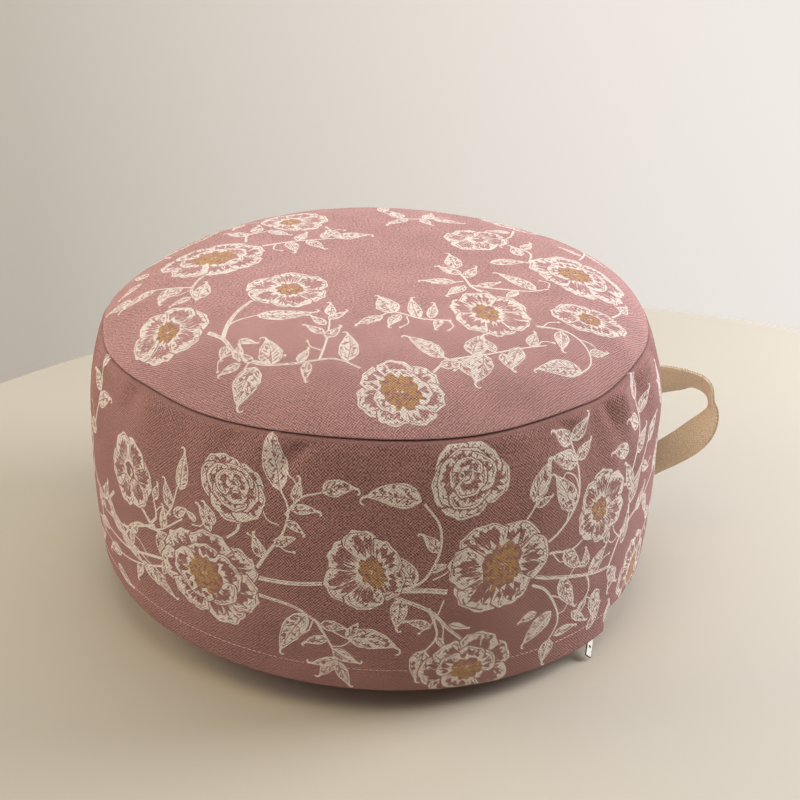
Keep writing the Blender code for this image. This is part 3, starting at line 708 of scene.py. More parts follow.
# x towards the strap, y to the back, from the top's middle
topPrint = {
    "roses": (
        (-152, -68, 58, 66, 0, 6, (15, 24), (0, 0)), (-65, -30, 60, 62, 20, 6, (18, 19), (0, 0)),
        (-117, 38, 80, 68, 0, 7, (32, 24), (0, 2)), (-52, 112, 52, 58, 30, 6, (17, 16), (-4, -2)),
        (70, -80, 58, 66, 10, 6, (16, 24), (-2, 0)), (-2, -171, 60, 60, 30, 7, (22, 30), (0, 0)),
        (151, -6, 76, 72, 0, 7, (24, 24), (-4, 2)), (143, -76, 58, 38, 0, 6, (16, 13), (0, 0)),
        (82, 56, 48, 50, 40, 6, None, (0, 0)), (-138, 118, 54, 50, 0, 6, (17, 15), (0, 0)),
        (-52, 178, 46, 38, 0, 6, (14, 12), (0, 0)), (128, 116, 62, 58, 20, 7, (20, 19), (0, 0)),
        (58, 180, 48, 38, 0, 6, None, (0, 0)),
    ),
    "fullRoses": (),
    "vines": (
        (2.4, 3.4, ((-92, -46), (-102, -60), (-110, -78), (-114, -94))),
        (3.6, 2.2, ((-124, -84), (-114, -96), (-108, -112), (-104, -124))),
        (2.4, 1.6, ((-108, -112), (-92, -130), (-68, -136), (-42, -136), (-26, -148))),
        (1.8, 1.0, ((-114, -88), (-106, -76), (-90, -70))),
        (1.6, 1.0, ((-84, -134), (-96, -126), (-104, -136))),
        (1.8, 1.0, ((-52, -136), (-46, -116), (-42, -94), (-40, -76))),
        (2.0, 1.0, ((20, -156), (34, -142), (62, -134), (88, -124), (104, -118))),
        (1.8, 1.0, ((34, -142), (22, -132), (14, -124))),
        (1.8, 1.2, ((100, -96), (122, -98), (134, -110), (136, -126), (124, -140))),
        (2.0, 1.2, ((42, -92), (22, -88), (4, -76), (-8, -84), (-16, -94))),
        (2.2, 1.4, ((70, -46), (64, -36), (62, -24), (58, -4))),
        (2.2, 1.4, ((64, -34), (80, -40), (104, -44), (120, -38))),
        (1.8, 1.0, ((60, -26), (48, -28), (36, -28))),
        (2.4, 1.8, ((-130, -34), (-134, -16), (-128, 2), (-120, 10))),
        (1.8, 1.0, ((-134, -10), (-150, -2), (-166, 6), (-182, 4))),
        (2.2, 1.2, ((-80, 56), (-58, 62), (-38, 64), (-22, 66))),
        (2.0, 1.2, ((-92, 68), (-90, 84), (-80, 88), (-70, 92))),
        (1.8, 1.0, ((-30, 92), (-26, 80), (-32, 70))),
        (2.0, 1.2, ((106, 42), (118, 30), (116, 16), (112, 8))),
        (2.0, 1.2, ((60, 108), (40, 106), (28, 110), (18, 130))),
        (2.0, 1.2, ((116, 84), (110, 66), (104, 58))),
        (2.0, 1.2, ((160, 96), (172, 74), (166, 50), (158, 32))),
        (2.0, 1.2, ((-150, 72), (-156, 88), (-150, 96))), (2.0, 1.2, ((-110, 118), (-92, 128), (-80, 122))),
        (1.8, 1.0, ((-62, 142), (-66, 154), (-60, 162))), (1.8, 1.0, ((100, 130), (86, 146), (74, 162))),
        (1.8, 1.0, ((164, -62), (174, -48), (170, -38))),
    ),
    "leaves": (
        (-90, -70, 40, 15, -2, 20, 6), (-84, -134, 30, 17, 92, 16, 6), (-44, -92, 18, 8, 120, 0, 4),
        (-42, -84, 18, 8, 40, 0, 4), (-40, -78, 20, 8, 84, 0, 4), (-46, -110, 18, 9, 50, 0, 4),
        (-46, -104, 18, 8, 130, 0, 3), (-34, -140, 34, 14, 84, 14, 5), (-94, -132, 34, 19, 242, 10, 7),
        (-104, -126, 16, 8, 200, 0, 3), (-106, -122, 16, 8, 80, 0, 3), (-66, -136, 16, 8, 60, 0, 3),
        (-60, -136, 18, 8, 260, 0, 3), (-112, -104, 14, 8, 250, 0, 3), (-96, -128, 14, 7, 120, 0, 2),
        (2, -78, 30, 17, 100, 14, 4), (20, -88, 34, 10, 92, -10, 4), (8, -80, 20, 9, 240, 10, 4),
        (-4, -82, 22, 10, 210, 10, 4), (28, -88, 24, 8, 76, 0, 4), (34, -90, 14, 7, 250, 0, 3),
        (30, -140, 34, 14, 128, 10, 5), (50, -136, 26, 16, 66, -10, 4), (58, -134, 30, 18, 252, 0, 6),
        (84, -124, 24, 12, 250, 0, 4), (70, -132, 18, 9, 290, 0, 3), (26, -148, 22, 10, 20, 10, 4),
        (92, -122, 18, 9, 70, 0, 3), (66, -132, 16, 8, 110, 0, 3), (118, -98, 22, 11, 262, 0, 4),
        (128, -134, 36, 15, 196, 10, 5), (136, -116, 16, 8, 20, 0, 3), (40, -144, 16, 8, 300, 0, 3),
        (58, -2, 28, 13, 92, 0, 4), (60, -14, 22, 10, 130, 0, 4), (62, -20, 22, 10, 60, 0, 4),
        (54, -28, 24, 11, 166, 10, 5), (60, -34, 22, 10, 226, 0, 4), (68, -36, 18, 9, 20, 0, 3),
        (110, -42, 38, 12, 128, 10, 4), (96, -44, 16, 8, 230, 0, 3), (84, 8, 28, 12, 4, -10, 4),
        (110, 22, 20, 10, 100, 0, 4), (114, 36, 18, 9, 60, 0, 4), (-130, -32, 26, 14, 74, 0, 4),
        (-160, 4, 30, 11, 190, 10, 4), (-150, -2, 22, 11, 250, 0, 4), (-140, -8, 20, 9, 210, 10, 4),
        (-180, 4, 22, 12, 160, 10, 4), (-24, 66, 26, 14, 10, -30, 6), (-46, 64, 22, 10, 300, 0, 4),
        (-60, 62, 22, 10, 280, -10, 4), (-54, 64, 18, 9, 60, 0, 3), (-34, 66, 16, 8, 70, 0, 3),
        (-90, 82, 24, 11, 130, 0, 4), (-84, 88, 22, 10, 80, 0, 4), (-74, 90, 20, 10, 320, 0, 3),
        (-30, 84, 20, 10, 300, 0, 4), (18, 128, 36, 10, 84, 10, 4), (30, 108, 22, 12, 100, 0, 4),
        (36, 106, 22, 9, 216, 10, 4), (50, 106, 20, 10, 70, 0, 4), (56, 108, 24, 10, 330, 20, 4),
        (46, 106, 16, 8, 290, 0, 3), (104, 58, 18, 9, 250, 0, 3), (112, 78, 18, 9, 180, 0, 3),
        (170, 76, 20, 10, 60, 0, 4), (172, 64, 20, 10, 300, 0, 4), (164, 46, 18, 9, 150, 0, 3),
        (-156, 82, 20, 10, 160, 0, 4), (-152, 92, 18, 9, 40, 0, 3), (-100, 124, 20, 10, 110, 0, 4),
        (-92, 126, 18, 9, 240, 0, 3), (-18, 168, 26, 12, 60, 10, 4), (-14, 156, 22, 10, 130, 0, 4),
        (-66, 150, 18, 9, 180, 0, 3), (86, 144, 20, 10, 40, 0, 4), (84, 148, 20, 10, 200, 0, 4),
        (22, 168, 24, 11, 20, 0, 4), (174, -48, 18, 9, 60, 0, 3), (-168, 40, 22, 10, 120, 0, 4),
        (-172, 30, 20, 9, 200, 0, 3), (-104, -100, 14, 7, 330, 0, 2), (-134, -26, 16, 8, 200, 0, 3),
    ),
    "tendrils": (
        ((-108, -114), (-118, -118), (-120, -128)), ((-88, -132), (-80, -124), (-74, -126)),
        ((-48, -126), (-56, -120), (-58, -112)), ((48, -138), (44, -146), (36, -152)),
        ((96, -122), (102, -114), (110, -114)), ((104, -98), (110, -90), (118, -88)),
        ((12, -84), (12, -94), (6, -100)), ((40, -92), (42, -100), (38, -106)),
        ((66, -40), (74, -46), (76, -52)), ((58, -8), (50, -2), (46, 4)),
        ((-134, -14), (-144, -18), (-150, -14)), ((-70, 58), (-72, 48), (-66, 44)),
        ((-86, 86), (-94, 92), (-102, 90)), ((34, 108), (28, 98), (20, 98)),
        ((54, 108), (62, 114), (68, 112)), ((-28, 76), (-22, 84), (-16, 82)),
        ((120, -36), (122, -28), (116, -24)), ((130, -104), (140, -106), (144, -114)),
    ),
}
# each print's leaves take their random draws from its number on, its flowers from further on
printSeeds = {"band": 1, "back": 401, "top": 7, "fullRoses": 50, "roses": 300}


def drawPrint(layout, seed):
    ink = []
    for wide, tip, points in layout["vines"]:
        drawVine(ink, wide, tip, points)
    for points in layout["tendrils"]:
        drawTendril(ink, points)
    for k, leaf in enumerate(layout["leaves"]):
        drawLeaf(ink, *leaf, seed + k)
    for k, rose in enumerate(layout["fullRoses"]):
        drawFullRose(ink, *rose, seed + printSeeds["fullRoses"] + k)
    for k, rose in enumerate(layout["roses"]):
        drawRose(ink, *rose, seed + printSeeds["roses"] + k)
    return ink


# the filled cover as one closed skin, held at its seams and blown up a little, gives the cloth its
# soft unevenness; share of the swell that is used, its cap in metres, and how much deeper the puckers are
filling = {
    "columns": 240, "wall": 30, "belly": (0.0, 0.25, 0.5, 0.74, 0.83, 0.92), "looser": 0.05,
    "crown": (0.985, 0.965, 0.94, 0.91, 0.88, 0.84, 0.8, 0.74, 0.67, 0.59, 0.5, 0.4, 0.3, 0.2, 0.1, 0.0),
    "pressure": 4.0, "frames": 20, "heldCrown": 0.75, "share": 0.28, "cap": 0.0020, "deeper": 1.7,
}
# the skin's rows at the base seam, at the top seam and on the crown
skinFirst = len(filling["belly"])
skinLast = skinFirst + filling["wall"]
skinCrown = skinLast + 1 + np.arange(len(filling["crown"]))


def makeSkin():
    # rows of points from the bottom's middle to the top's, with a single point at either end;
    # the points always come in this order, so that the cloth settles alike each time
    sections = [("belly", s) for s in filling["belly"]]
    sections += [("wall", k / filling["wall"]) for k in range(filling["wall"] + 1)]
    sections += [("crown", s) for s in filling["crown"]]
    turns = np.arange(filling["columns"]) * 360.0 / filling["columns"] - 180.0
    spots, rows, angles = [], [], []
    for k, (zone, share) in enumerate(sections):
        angle = turns[:1] if k in (0, len(sections) - 1) else turns
        if zone == "belly":
            radius, height = bellyInset(angle, np.full(angle.shape, share), 0.0)
        elif zone == "wall":
            height = baseSeamHeight(angle) + (seamHeight(angle) - baseSeamHeight(angle)) * share
            radius = wallRadius(angle, height)
        else:
            radius, height = np.full(angle.shape, body["seamRadius"] * share), crownHeight(angle, share)
        spots += roundPoint(angle, radius, height).tolist()
        rows += [k] * len(angle)
        angles += angle.tolist()
    faces = []
    count, end = filling["columns"], len(spots) - 1
    for i in range(count):
        j = (i + 1) % count
        faces.append((0, 1 + j, 1 + i))
        faces += [(first + i, first + j, first + count + j, first + count + i)
                  for first in range(1, end - count, count)]
        faces.append((end - count + i, end - count + j, end))
    mesh = bpy.data.meshes.new("skin")
    mesh.from_pydata(spots, [], faces)
    mesh.update()
    return mesh, np.array(rows), np.array(angles), np.array(spots)


def settleSkin():
    # how far the filled cloth swells or draws in square to itself, by angle and row
    mesh, rows, angles, spots = makeSkin()
    skin = bpy.data.objects.new("skin", mesh)
    bpy.context.scene.collection.objects.link(skin)
    held = skin.vertex_groups.new(name="held")
    calm = skinLast + 1 + sum(s > filling["heldCrown"] for s in filling["crown"])
    still = (rows <= skinFirst) | (rows == skinLast) | (rows >= calm)
    held.add([int(k) for k in np.nonzero(still)[0]], 1.0, "REPLACE")
    settings = skin.modifiers.new("filling", "CLOTH").settings
    settings.quality = 6
    settings.mass = 0.015
    settings.tension_stiffness = settings.compression_stiffness = 15.0
    settings.shear_stiffness = 5.0
    settings.bending_stiffness = 0.5
    settings.air_damping = 1.0
    settings.use_pressure = True
    settings.uniform_pressure_force = filling["pressure"]
    settings.effector_weights.gravity = 0.0
    settings.vertex_group_mass = "held"
    settings.shrink_min = -filling["looser"]
    scene = bpy.context.scene
    scene.frame_start, scene.frame_end = 1, filling["frames"]
    for step in range(1, filling["frames"] + 1):
        scene.frame_set(step)
    settled = skin.evaluated_get(bpy.context.evaluated_depsgraph_get())
    moved = np.array([v.co[:] for v in settled.data.vertices])
    normals = np.array([v.normal[:] for v in mesh.vertices])
    move = ((moved - spots) * normals).sum(axis=1)
    columns = np.linspace(-180.0, 180.0, filling["columns"] + 1)
    relief = np.zeros((len(columns), int(rows.max()) + 1))
    for k in range(skinFirst + 1, calm):
        if k == skinLast:
            continue
        row = np.nonzero(rows == k)[0]
        row = row[np.argsort(angles[row])]
        line = np.interp(columns, angles[row], move[row], period=360.0)
        line = line - line[:-1].mean()
        for _ in range(3):
            loop = line[:-1]
            loop = 0.25 * np.roll(loop, 1) + 0.5 * loop + 0.25 * np.roll(loop, -1)
            line = np.append(loop, loop[0])
        relief[:, k] = np.clip(line * filling["share"], -filling["cap"], filling["cap"])
    scene.frame_set(1)
    bpy.data.objects.remove(skin)
    bpy.data.meshes.remove(mesh)
    low, high = 1000 * float(relief.min()), 1000 * float(relief.max())
    print("filling settled, cloth moves", round(low, 2), "to", round(high, 2), "mm")
    return columns, relief


skinColumns, skinRelief = settleSkin()


def readRelief(angle, row):
    levels = np.arange(skinRelief.shape[1], dtype=float)
    return readLattice(skinRelief[:, :, None], skinColumns, levels, turnBetween(angle, 0.0), row)[:, 0]


# puckers under the top seam: angle, spread in degrees, reach down in millimetres, lean in degrees, push
puckers = (
    (-60.0, 2.6, 30.0, -2.0, -0.0018), (-52.0, 4.0, 26.0, 0.0, 0.0012), (-45.0, 3.0, 24.0, 2.0, -0.0012),
    (-33.0, 2.2, 24.0, -3.0, -0.0014), (-25.5, 2.6, 26.0, -4.0, 0.0015), (-18.5, 1.4, 28.0, -7.0, -0.0026),
    (-13.0, 2.4, 16.0, -2.0, 0.0007), (-4.0, 2.2, 14.0, 2.0, -0.0006), (6.0, 3.0, 14.0, 0.0, 0.0006),
    (14.0, 1.8, 14.0, 2.0, -0.0007), (22.0, 2.6, 18.0, 2.0, 0.0008), (31.5, 2.0, 30.0, 3.0, -0.0016),
    (36.5, 2.2, 28.0, 2.0, 0.0012), (44.0, 1.5, 36.0, 3.0, -0.0020), (49.0, 2.0, 44.0, 3.0, 0.0022),
    (56.5, 2.0, 34.0, 2.0, -0.0020), (64.0, 2.4, 30.0, 1.0, 0.0012), (71.0, 2.0, 26.0, 2.0, -0.0010),
    (103.0, 2.2, 30.0, -2.0, 0.0010), (110.0, 2.0, 26.0, -3.0, -0.0014), (124.0, 2.6, 22.0, 0.0, 0.0008),
    (136.0, 2.0, 28.0, 3.0, -0.0014), (147.0, 2.4, 22.0, 0.0, 0.0008), (163.0, 2.2, 20.0, -3.0, -0.0009),
    (178.0, 2.8, 22.0, 0.0, 0.0008), (190.0, 1.8, 26.0, 4.0, -0.0013), (204.0, 2.6, 18.0, 0.0, 0.0006),
    (219.0, 2.0, 22.0, -3.0, -0.0010), (234.0, 2.4, 26.0, 2.0, 0.0010), (246.0, 1.8, 24.0, -3.0, -0.0012),
    (258.0, 2.4, 20.0, 0.0, 0.0007), (272.0, 2.2, 26.0, 3.0, -0.0010),
)


def puckerPush(angle, down):
    # down is the distance below the top seam in millimetres
    push = 0.0 * angle
    for at, spread, reach, lean, depth in puckers:
        fade = np.clip(down / 5.0, 0.0, 1.0) * np.exp(-(np.maximum(down, 0.0) / reach) ** 1.6)
        wider = spread * (1.0 + 0.4 * down / 30.0)
        away = turnBetween(angle, at + lean * down / 30.0)
        push = push + filling["deeper"] * depth * bell(away, wider) * fade
    # the turned-in seam allowance stands a little proud just under the seam
    return push + 0.00045 * np.exp(-((down - 5.0) / 3.5) ** 2)


# side band: a strip that starts and ends at the upright seam, from the bottom's middle under the hem,
# round it, up the wall and in under the top panel
band = {
    "first": -270.0, "last": 90.0, "column": 0.8, "row": 6.25, "fillet": 0.0023, "keepOff": 1.5,
    # how far the band turns in at the top seam, and metres of cloth for one unit up the lattice
    "groove": 0.0040, "unit": 0.00092,
    # columns close to the upright seam, in degrees from it
    "seamColumns": (0.15, 0.3, 0.45, 0.58, 0.66, 0.74, 0.82, 1.0, 1.3, 1.7, 2.2),
    # rows up to each height keep one point in so many, and fewer where x is left of behind
    "kept": ((-60.1, 6), (-24.1, 3), (0.0, 2), (149.9, 3), (179.9, 2), (200.0, 1), (219.0, 2), (264.0, 6)),
    "behind": -330.0,
}


def bandColumns():
    first, last, corner = band["first"], band["last"], body["lapCorner"]
    angles = list(np.arange(first, last, band["column"])) + [last]
    for offset in band["seamColumns"]:
        angles += [first + offset, last - offset]
    for share in (0.0, 0.2, 0.4, 0.6, 0.8, 1.0):
        angles += [body["lapStart"] + share * corner, body["lapEnd"] - share * corner]
    return np.unique(np.round(angles, 4))


def wallHeights(angle):
    # where the wall leaves the hem's round, where it meets the top seam and where it starts to roll in
    low = hemHeight(angle) + 0.5 * body["hem"]
    seam = seamHeight(angle) - body["seamInset"]
    slope = (wallRadius(angle, seam - 0.003) - wallRadius(angle, seam)) / 0.003
    return low, seam, seam - band["fillet"] * (1.0 / np.hypot(1.0, slope))


def bandRow(angle, v):
    # one row of the strip's lattice, at every angle
    low, seam, high = wallHeights(angle)
    base = baseSeamHeight(angle)
    share = lapShare(angle)
    if v >= 200.0:
        corner = roundPoint(angle, wallRadius(angle, seam), seam)
        if v <= 215.0:
            s = (v - 200.0) / 15.0
            start = roundPoint(angle, wallRadius(angle, high), high)
            end = roundPoint(angle, wallRadius(angle, seam) - band["groove"], seam - 0.0003)
            return (1 - s) ** 2 * start + 2 * s * (1 - s) * corner + s * s * end
        across = {219.0: 0.972, 224.0: 0.955, 229.0: 0.92, 234.0: 0.865, 240.0: 0.79, 246.0: 0.68,
                  252.0: 0.50, 258.0: 0.25, 264.0: 0.0}[v]
        depth = 0.0036 if across > 0.9 else 0.0030
        radius, height = crownInset(angle, np.full(angle.shape, across), depth)
        return roundPoint(angle, radius * (across > 0), height)
    if v < -54.0:
        across = {-96.0: 0.0, -90.0: 0.15, -84.0: 0.36, -78.0: 0.57, -73.0: 0.749, -69.0: 0.80, -66.0: 0.85,
                  -63.0: 0.90, -60.0: 0.95, -57.0: 0.985}[v]
        radius, height = bellyInset(angle, np.full(angle.shape, across), body["cloth"] + 0.0004)
        return roundPoint(angle, radius * (across > 0), height)
    # hung over the zip
    outer = body["hemRadius"] + wallPush(angle, low)
    inner = outer - body["hem"]
    back = inner - body["lapGap"]
    roof = low - 0.5 * body["hem"] + body["lapDepth"]
    rows = {
        -54.0: (back, base), -50.0: (back, 0.5 * (base + roof - 0.0012)), -46.0: (back, roof - 0.0012),
        -43.0: (back + 0.0006, roof - 0.0003), -40.0: (back + 0.0022, roof),
        -37.0: (inner - 0.0006, roof - 0.0003), -34.0: (inner, roof - 0.0012),
        -29.0: (inner, low + 0.0050), -24.0: (inner, low + 0.0018),
    }
    rounds = (-20.0, -17.0, -14.0, -11.0, -8.0, -4.0, 0.0)
    if v in rounds:
        turn = math.pi * (1.0 + rounds.index(v) / 6.0)
        half = 0.5 * body["hem"]
        hung = roundPoint(angle, outer - half + half * math.cos(turn), low + half * math.sin(turn))
    elif v > 0.0:
        height = low + (high - low) * v / 200.0
        hung = roundPoint(angle, wallRadius(angle, height), height)
    else:
        hung = roundPoint(angle, *rows[v])
    # plain: round into the base seam and tucked in behind it
    height = low + (high - low) * max(v, 0.0) / 200.0
    up = np.clip((height - base) / body["plainRise"], 0.0, 1.0)
    reach = wallRadius(angle, base + body["plainRise"]) - body["baseRadius"]
    curved = body["baseRadius"] + reach * np.sqrt(np.maximum(1.0 - (1.0 - up) ** 2, 0.0))
    behind = np.maximum(base - height, 0.0) - 0.0001 * min(v, 0.0)
    tuck = 1.0 - np.exp(-behind / 0.003)
    radius = np.where(height >= base + body["plainRise"], wallRadius(angle, height), curved - 0.0015 * tuck)
    plain = roundPoint(angle, radius, np.maximum(height, base) + 0.0004 * tuck)
    return plain + (hung - plain) * share[:, None]


# the rows: bottom, inside of the lap, hem, wall, roll at the top seam, crown
bandRows = np.array(
    [-96.0, -90.0, -84.0, -78.0, -73.0, -69.0, -66.0, -63.0, -60.0, -57.0, -54.0, -50.0, -46.0, -43.0]
    + [-40.0, -37.0, -34.0, -29.0, -24.0, -20.0, -17.0, -14.0, -11.0, -8.0, -4.0]
    + list(np.arange(0.0, 181.3, band["row"])) + [185.0, 188.5, 192.0, 194.5, 197.0, 200.0]
    + [203.0, 206.0, 209.0, 212.0, 215.0, 219.0, 224.0, 229.0, 234.0, 240.0, 246.0, 252.0, 258.0, 264.0])
bandAngles = bandColumns()
bandX = np.radians(bandAngles) * body["flatRadius"]
bandGrid = np.stack([bandRow(bandAngles, float(v)) for v in bandRows], axis=1)
bandNormals = latticeNormals(bandGrid, True)


def bandRelief():
    # the settled unevenness and the puckers on the open wall, none near the strap's seam or the hem
    relief = np.zeros(bandGrid.shape[:2])
    low, seam, high = wallHeights(bandAngles)
    base, tall = baseSeamHeight(bandAngles), seamHeight(bandAngles) - baseSeamHeight(bandAngles)
    away = smooth((np.abs(turnBetween(bandAngles, upright["angle"])) - 3.0) / 14.0)
    for j, v in enumerate(bandRows):
        if 0.0 < v < 200.0:
            height = low + (high - low) * v / 200.0
            row = skinFirst + (skinLast - skinFirst) * ((height - base) / tall)
            settled = readRelief(bandAngles, row) * smooth(v / 60.0) * smooth((200.0 - v) / 14.0)
            relief[:, j] = away * (settled + puckerPush(bandAngles, 1000.0 * (high - height)))
    return relief


bandGrid += bandNormals * bandRelief()[:, :, None]
bandNormals = latticeNormals(bandGrid, True)
print("band lattice", bandGrid.shape)


def bandPlace(x, v):
    return readLattice(bandGrid, bandX, bandRows, x, v), readLattice(bandNormals, bandX, bandRows, x, v)


def bandWarp(shape):
    # flat millimetres to the lattice, kept clear of the upright seam
    x = np.clip([p[0] for p in shape], bandX[0] + band["keepOff"], bandX[-1] - band["keepOff"])
    low, seam, high = wallHeights(np.degrees(x / body["flatRadius"]))
    v = 200.0 * (np.array([p[1] for p in shape]) - 1.5) / (1000.0 * (high - low))
    return list(zip(x.tolist(), np.clip(v, -90.0, 216.0).tolist()))


def bandInk():
    # the print of the front, and the cloth's repeat round the back
    drawn = drawPrint(bandPrint, printSeeds["band"])
    unit = drawPrint(backPrint, printSeeds["back"])
    for k in range(backRepeat["count"]):
        drawn += [(kind, [(x - backRepeat["length"] * k, y) for x, y in shape]) for kind, shape in unit]
    left, right = bandX[0] + 2 * band["keepOff"], bandX[-1] - 2 * band["keepOff"]
    return [(kind, bandWarp(shape)) for kind, shape in drawn
            if max(x for x, y in shape) >= left and min(x for x, y in shape) <= right]


def makeBand(materials):
    x0, x1, v0, v1 = bandX[0], bandX[-1], bandRows[0], bandRows[-1]
    outline = [(x, v0) for x in bandX[::2]] + [(x1, v) for v in bandRows]
    outline += [(x, v1) for x in bandX[::-2]] + [(x0, v) for v in bandRows[::-1]]
    outline = [p for p, q in zip(outline, outline[1:] + outline[:1]) if p != q]
    inside, chains = [], []
    for v in bandRows[1:-1]:
        skip = next(count for level, count in band["kept"] if v <= level)
        chosen = [x for i, x in enumerate(bandX[1:-1])
                  if i % (skip if x > band["behind"] else skip + 1) == 0 or x < x0 + 9 or x > x1 - 9]
        # creases and hems keep their edges
        if v <= 0.0 or v >= 199.0:
            chains.append([(x0, v)] + [(x, v) for x in chosen] + [(x1, v)])
        else:
            inside += [(x, v) for x in chosen]
    flat, corners, inks = cutPanel(outline, inside, chains, bandInk())
    places, normals = bandPlace(flat[:, 0], flat[:, 1])
    uvs = flat * (0.001, band["unit"])
    piece = makePanel("sideBand", places, normals, uvs, corners, inks, materials)
    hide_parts("side_band_filled")
    print("side band", len(piece.data.polygons), "triangles")


# top panel: a disc that rolls under at its seam and comes back below, 2 mm thick
top = {"roll": 0.0014, "flat": 206.0, "groove": 0.0038, "column": 2.0, "piece": 5.5, "printed": 213.0}
topAngles = np.arange(-180.0, 180.1, top["column"])
topRows = np.array(
    list(np.arange(0.0, 196.0, 6.5)) + [198.5, 201.0, 203.0, 204.6, 206.0, 208.5, 211.0, 213.5, 216.0]
    + [219.0, 224.0, 232.0, 242.0, 254.0, 268.0, 282.0])


def topRow(angle, rho):
    flat = top["flat"]
    if rho <= flat:
        # the share of the radius at that length along the crown's mean section
        shares = np.linspace(0.0, 1.0, 801)
        heights = body["seamHeight"] + body["rise"] * (1.0 - shares ** body["power"])
        steps = np.hypot(np.diff(shares * body["seamRadius"]), np.diff(heights))
        lengths = np.concatenate([[0.0], np.cumsum(steps)])
        share = float(np.interp(rho * (lengths[-1] - top["roll"]) / flat, lengths, shares))
        return roundPoint(angle, np.full(angle.shape, body["seamRadius"] * share), crownHeight(angle, share))
    seam = seamHeight(angle)
    if rho <= 216.0:
        s = (rho - flat) / 10.0
        start = topRow(angle, flat)
        corner = roundPoint(angle, np.full(angle.shape, body["seamRadius"] + 0.0001), seam)
        end = roundPoint(angle, np.full(angle.shape, body["seamRadius"] - top["groove"]), seam - 0.0002)
        return (1 - s) ** 2 * start + 2 * s * (1 - s) * corner + s * s * end
    across = {219.0: 0.978, 224.0: 0.955, 232.0: 0.91, 242.0: 0.82, 254.0: 0.66, 268.0: 0.36, 282.0: 0.0}[rho]
    radius, height = crownInset(angle, np.full(angle.shape, across), body["cloth"])
    return roundPoint(angle, radius * (across > 0), height)


topGrid = np.stack([topRow(topAngles, float(rho)) for rho in topRows], axis=1)
topNormals = latticeNormals(topGrid, True)
topNormals *= np.sign(topNormals[:, 5, 2].mean())


def topRelief():
    relief = np.zeros(topGrid.shape[:2])
    shares, rows = filling["crown"][::-1] + (1.0,), list(skinCrown[::-1]) + [skinLast]
    for j, rho in enumerate(topRows):
        if 0.0 < rho < top["flat"]:
            share = float(np.hypot(*topGrid[0, j, :2])) / body["seamRadius"]
            row = np.full(topAngles.shape, float(np.interp(share, shares, rows)))
            relief[:, j] = 0.6 * readRelief(topAngles, row) * smooth((top["flat"] - rho) / 8.0)
    return relief


topGrid += topNormals * topRelief()[:, :, None]
topNormals = latticeNormals(topGrid, True)
topNormals *= np.sign(topNormals[:, 5, 2].mean())
# the lattice's poles have no width, so their normals are set
topNormals[:, 0] = (0.0, 0.0, 1.0)
topNormals[:, -1] = (0.0, 0.0, -1.0)
print("top lattice", topGrid.shape)


def ring(rho, count, shift=0.0):
    turns = [2 * math.pi * (k + shift) / count for k in range(count)]
    return [(rho * math.cos(turn), rho * math.sin(turn)) for turn in turns]


def makeTop(materials):
    ink = [(kind, shape) for kind, shape in drawPrint(topPrint, printSeeds["top"])
           if max(math.hypot(x, y) for x, y in shape) < top["printed"]]
    inside, chains = [(0.0, 0.0)], []
    for j, rho in enumerate(topRows[1:-1]):
        if rho < 200.0:
            inside += ring(rho, max(8, round(2 * math.pi * rho / top["piece"])), 0.5 * (j % 2))
        else:
            closed = ring(rho, 360 if rho <= 219.0 else 120)
            chains.append(closed + closed[:1])
    flat, corners, inks = cutPanel(ring(topRows[-1], 60), inside, chains, ink)
    rho = np.hypot(flat[:, 0], flat[:, 1])
    angle = np.degrees(np.arctan2(flat[:, 0], -flat[:, 1]))
    places = readLattice(topGrid, topAngles, topRows, angle, rho)
    normals = readLattice(topNormals, topAngles, topRows, angle, rho)
    piece = makePanel("topPanel", places, normals, flat * 0.001, corners, inks, materials)
    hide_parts("top_panel")
    print("top panel", len(piece.data.polygons), "triangles")


# bottom panel: plain round canvas, flat in the middle, 2 mm thick
bottom = {"seam": 0.1936, "steps": 96, "shares": (0.0, 0.25, 0.50, 0.72, 0.80, 0.86, 0.91, 0.96, 1.0)}


def makeBottom(material):
    # the section stands in a plane and is turned round, then leans to the base seam's height
    work = bmesh.new()
    outside = [Vector((bottom["seam"] * s, 0.0, 0.0)) for s in bottom["shares"]]
    verts = [work.verts.new(p) for p in outside]
    verts += [work.verts.new(p + Vector((0.0, 0.0, 1.0))) for p in outside[::-1]]
    edges = [work.edges.new((a, b)) for a, b in zip(verts, verts[1:])]
    bmesh.ops.spin(work, geom=verts + edges, cent=(0, 0, 0), axis=(0, 0, 1), angle=2 * math.pi,
                   steps=bottom["steps"], use_merge=True, use_duplicate=False)
    bmesh.ops.remove_doubles(work, verts=work.verts, dist=1e-6)
    for vert in work.verts:
        radius = math.hypot(vert.co.x, vert.co.y)
        angle = math.degrees(math.atan2(vert.co.x, -vert.co.y))
        share = radius / (body["baseRadius"] - body["seamInset"])
        depth = body["cloth"] if vert.co.z > 0.5 else 0.0
        out, up = bellyInset(np.array([angle]), np.array([share]), depth)
        scale = float(out[0]) / radius if radius > 1e-6 else 1.0
        vert.co = (vert.co.x * scale, vert.co.y * scale, float(up[0]))
    bmesh.ops.recalc_face_normals(work, faces=work.faces)
    mesh = smoothMesh(work, "bottomPanel", material, 50.0)
    piece = addPiece("bottomPanel", mesh)
    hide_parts("bottom_panel")
    print("bottom panel", len(mesh.polygons), "faces")


